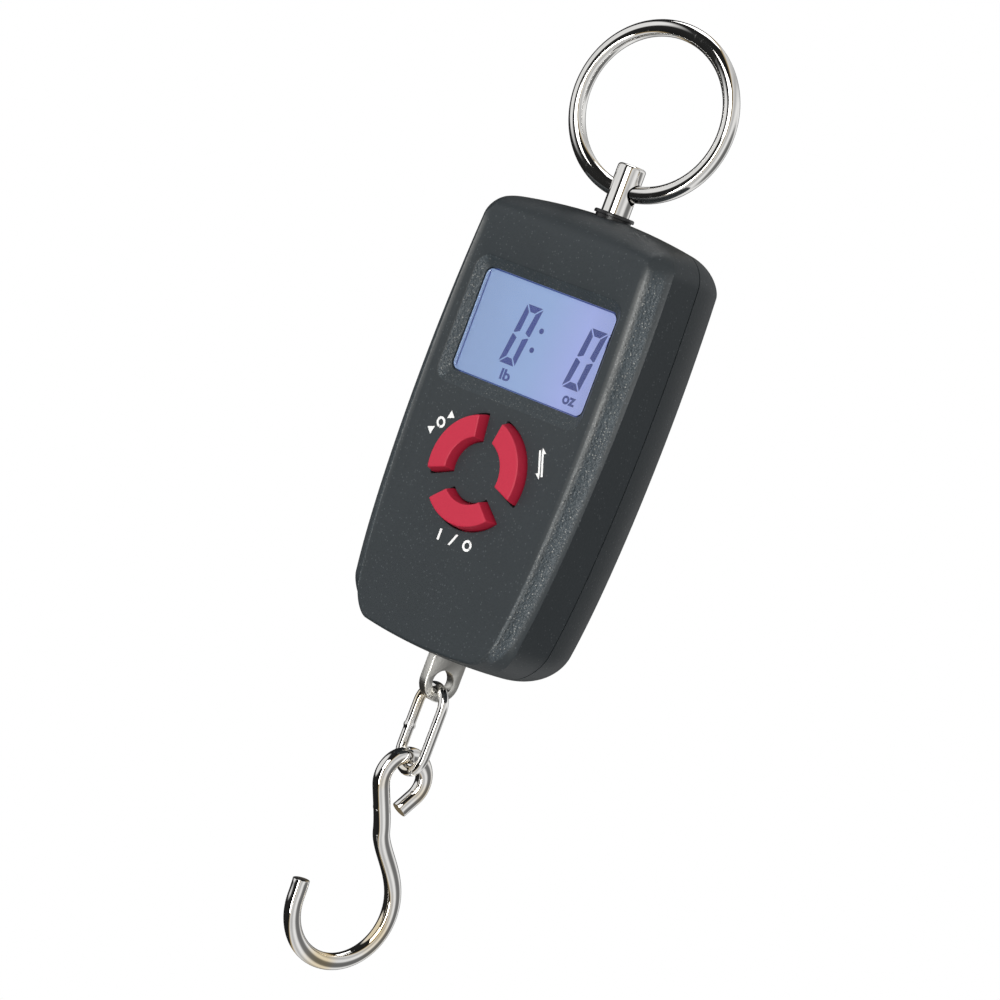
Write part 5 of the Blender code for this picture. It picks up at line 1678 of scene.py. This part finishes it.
class SCALE_OT_stage(ScalePiece, bpy.types.Operator):
    """Set up the pale floor, the studio light and the camera"""

    bl_idname = "fish_scale.stage"
    bl_label = "Stage"
    light_side = (1, 0, 0)
    far_side = (0, 1, 0)

    def execute(self, context):
        aim = Vector((0, 0, -0.11203))
        turn = math.radians(38.0)
        rise = math.radians(3.43)
        roll = math.radians(20.6)
        back = Vector((math.sin(turn) * math.cos(rise), -math.cos(turn) * math.cos(rise), math.sin(rise)))
        right = Vector((math.cos(turn), math.sin(turn), 0))
        up = back.cross(right)
        across = right * math.cos(roll) + up * math.sin(roll)
        upright = up * math.cos(roll) - right * math.sin(roll)
        self.light_side = across * 0.8 - upright * 0.6
        self.far_side = -back
        lens = bpy.data.cameras.new("camera")
        lens.sensor_width = 36.0
        lens.lens = 149.83
        lens.shift_x = 0.0039
        lens.shift_y = 0.0306
        lens.clip_start = 0.01
        camera = add_object("camera", lens)
        turned_to = Matrix((across, upright, back)).transposed()
        camera.matrix_world = Matrix.Translation(aim + back * 0.894) @ turned_to.to_4x4()
        context.scene.camera = camera
        lights = (
            ("key_light", 1.0, -0.3, 0.5, (0.6, 0.6), 4.6, (1.0, 0.99, 0.97)),
            ("strip_light", 0.86, -0.42, -0.1, (0.14, 0.9), 4.2, (1.0, 1.0, 0.98)),
            ("fill_light", 0.7, -0.8, 0.1, (0.7, 0.7), 1.8, (0.95, 0.98, 1.0)),
            ("side_light", -0.3, 0.95, 0.2, (0.5, 0.5), 0.7, (0.86, 0.95, 1.0)),
            ("top_light", -0.25, 0.25, 0.95, (0.5, 0.5), 2.6, (1.0, 1.0, 1.0)),
        )
        for name, near, side, high, size, power, colour in lights:
            area = bpy.data.lights.new(name, "AREA")
            area.shape = "RECTANGLE"
            area.size, area.size_y = size
            area.energy = power
            area.color = colour
            lamp = add_object(name, area)
            place = aim + back * near + across * side + upright * high
            facing = (place - aim).to_track_quat("Z", "Y").to_matrix().to_4x4()
            lamp.matrix_world = Matrix.Translation(place) @ facing
            lamp.visible_glossy = name not in ("fill_light", "side_light")
        self.floor()
        self.surroundings(context)
        context.scene.view_settings.view_transform = "Standard"
        return {"FINISHED"}

    def along(self, tree, place, direction, where):
        """How far a direction of view leans towards the given one, from -1 to 1."""
        made = node(tree, "ShaderNodeVectorMath", where, operation="DOT_PRODUCT")
        made.inputs[1].default_value = direction
        tree.links.new(place, made.inputs[0])
        return made.outputs["Value"]

    def floor(self):
        rings = []
        for radius in (0.1, 0.25, 0.4, 0.55):
            rings.append([(x, y, -0.34) for x, y in circle(0, 0, radius, 64)])
        verts, faces = loft(rings)
        mesh = bpy.data.meshes.new("floor")
        mesh.from_pydata(verts, [], faces[:-1])
        made = add_object("floor", mesh)
        look, tree, shader, where = start_material("pale_floor")
        noise = node(tree, "ShaderNodeTexNoise", (-900, 0))
        noise.inputs["Scale"].default_value = 3.0
        tree.links.new(where, noise.inputs["Vector"])
        colour = ramp(tree, noise.outputs["Fac"], (-600, 0), [(0.3, grey(0.74)), (0.7, grey(0.78))])
        tree.links.new(colour, shader.inputs["Base Color"])
        shader.inputs["Roughness"].default_value = 0.9
        seen = node(tree, "ShaderNodeLightPath", (-600, -300)).outputs["Is Camera Ray"]
        white = node(tree, "ShaderNodeEmission", (-200, -300))
        white.inputs["Color"].default_value = grey(1.0)
        white.inputs["Strength"].default_value = 1.0
        mix = node(tree, "ShaderNodeMixShader", (300, 0))
        tree.links.new(seen, mix.inputs[0])
        tree.links.new(shader.outputs[0], mix.inputs[1])
        tree.links.new(white.outputs[0], mix.inputs[2])
        under = node(tree, "ShaderNodeNewGeometry", (300, -300)).outputs["Backfacing"]
        clear = node(tree, "ShaderNodeBsdfTransparent", (300, -500))
        last = node(tree, "ShaderNodeMixShader", (600, 0))
        tree.links.new(under, last.inputs[0])
        tree.links.new(mix.outputs[0], last.inputs[1])
        tree.links.new(clear.outputs[0], last.inputs[2])
        tree.links.new(last.outputs[0], tree.nodes["Material Output"].inputs["Surface"])
        mesh.materials.append(look)
        made.visible_glossy = False

    def surroundings(self, context):
        """A white studio with a few dark bands, which only bright metal shows."""
        world = bpy.data.worlds.new("studio")
        context.scene.world = world
        world.use_nodes = True
        tree = world.node_tree
        place = node(tree, "ShaderNodeTexCoord", (-1600, 0)).outputs["Generated"]
        across = self.along(tree, place, self.light_side, (-1300, 100))
        behind = self.along(tree, place, self.far_side, (-1300, -200))
        level = maths(tree, "MULTIPLY_ADD", (-900, 0), across, 0.5, 0.5)
        bands = ramp(
            tree,
            level,
            (-600, 0),
            [
                (0.0, grey(0.8)),
                (0.05, grey(0.9)),
                (0.09, grey(0.02)),
                (0.43, grey(0.012)),
                (0.475, (0.50, 0.38, 0.20, 1)),
                (0.53, grey(0.78)),
                (0.68, grey(0.5)),
                (0.84, grey(0.95)),
                (0.91, grey(0.8)),
                (0.955, grey(0.22)),
                (1.0, grey(0.15)),
            ],
        )
        dim = ramp(tree, behind, (-600, -300), [(0.72, grey(0)), (0.93, grey(0.92))])
        bands = mix_colour(tree, (-350, -100), dim, bands, grey(0.04))
        path = node(tree, "ShaderNodeLightPath", (-600, 400))
        soft = mix_colour(tree, (-200, 100), path.outputs["Is Glossy Ray"], grey(0.30), bands)
        seen = mix_colour(tree, (0, 100), path.outputs["Is Camera Ray"], soft, grey(1.0))
        tree.links.new(seen, tree.nodes["Background"].inputs["Color"])
        tree.nodes["Background"].inputs["Strength"].default_value = 1.0


class SCALE_PT_panel(bpy.types.Panel):
    bl_label = "Fish Scale"
    bl_idname = "SCALE_PT_panel"
    bl_space_type = "VIEW_3D"
    bl_region_type = "UI"
    bl_category = "Fish Scale"

    def draw(self, context):
        for group in (context.scene.scale_plastics, context.scene.scale_metals, context.scene.scale_display):
            for name in group.bl_rna.properties.keys():
                if name not in ("rna_type", "name"):
                    self.layout.prop(group, name)
        for operator in OPERATORS:
            self.layout.operator(operator.bl_idname)


OPERATORS = (
    SCALE_OT_finishes,
    SCALE_OT_front,
    SCALE_OT_rear,
    SCALE_OT_door,
    SCALE_OT_screws,
    SCALE_OT_keys,
    SCALE_OT_display,
    SCALE_OT_signs,
    SCALE_OT_top,
    SCALE_OT_bottom,
    SCALE_OT_inside,
    SCALE_OT_stage,
)
GROUPS = (ScalePlastics, ScaleMetals, ScaleDisplay)


def register():
    for made in GROUPS + OPERATORS + (SCALE_PT_panel,):
        bpy.utils.register_class(made)
    bpy.types.Scene.scale_plastics = bpy.props.PointerProperty(type=ScalePlastics)
    bpy.types.Scene.scale_metals = bpy.props.PointerProperty(type=ScaleMetals)
    bpy.types.Scene.scale_display = bpy.props.PointerProperty(type=ScaleDisplay)


def unregister():
    del bpy.types.Scene.scale_plastics
    del bpy.types.Scene.scale_metals
    del bpy.types.Scene.scale_display
    for made in reversed(GROUPS + OPERATORS + (SCALE_PT_panel,)):
        bpy.utils.unregister_class(made)


def clear_startup():
    for old in list(bpy.data.objects):
        if old.name in ("Cube", "Light", "Camera"):
            bpy.data.objects.remove(old)


def main():
    register()
    clear_startup()
    for operator in OPERATORS:
        group, name = operator.bl_idname.split(".")
        getattr(getattr(bpy.ops, group), name)()
    bpy.context.view_layer.update()


if __name__ == "__main__":
    main()
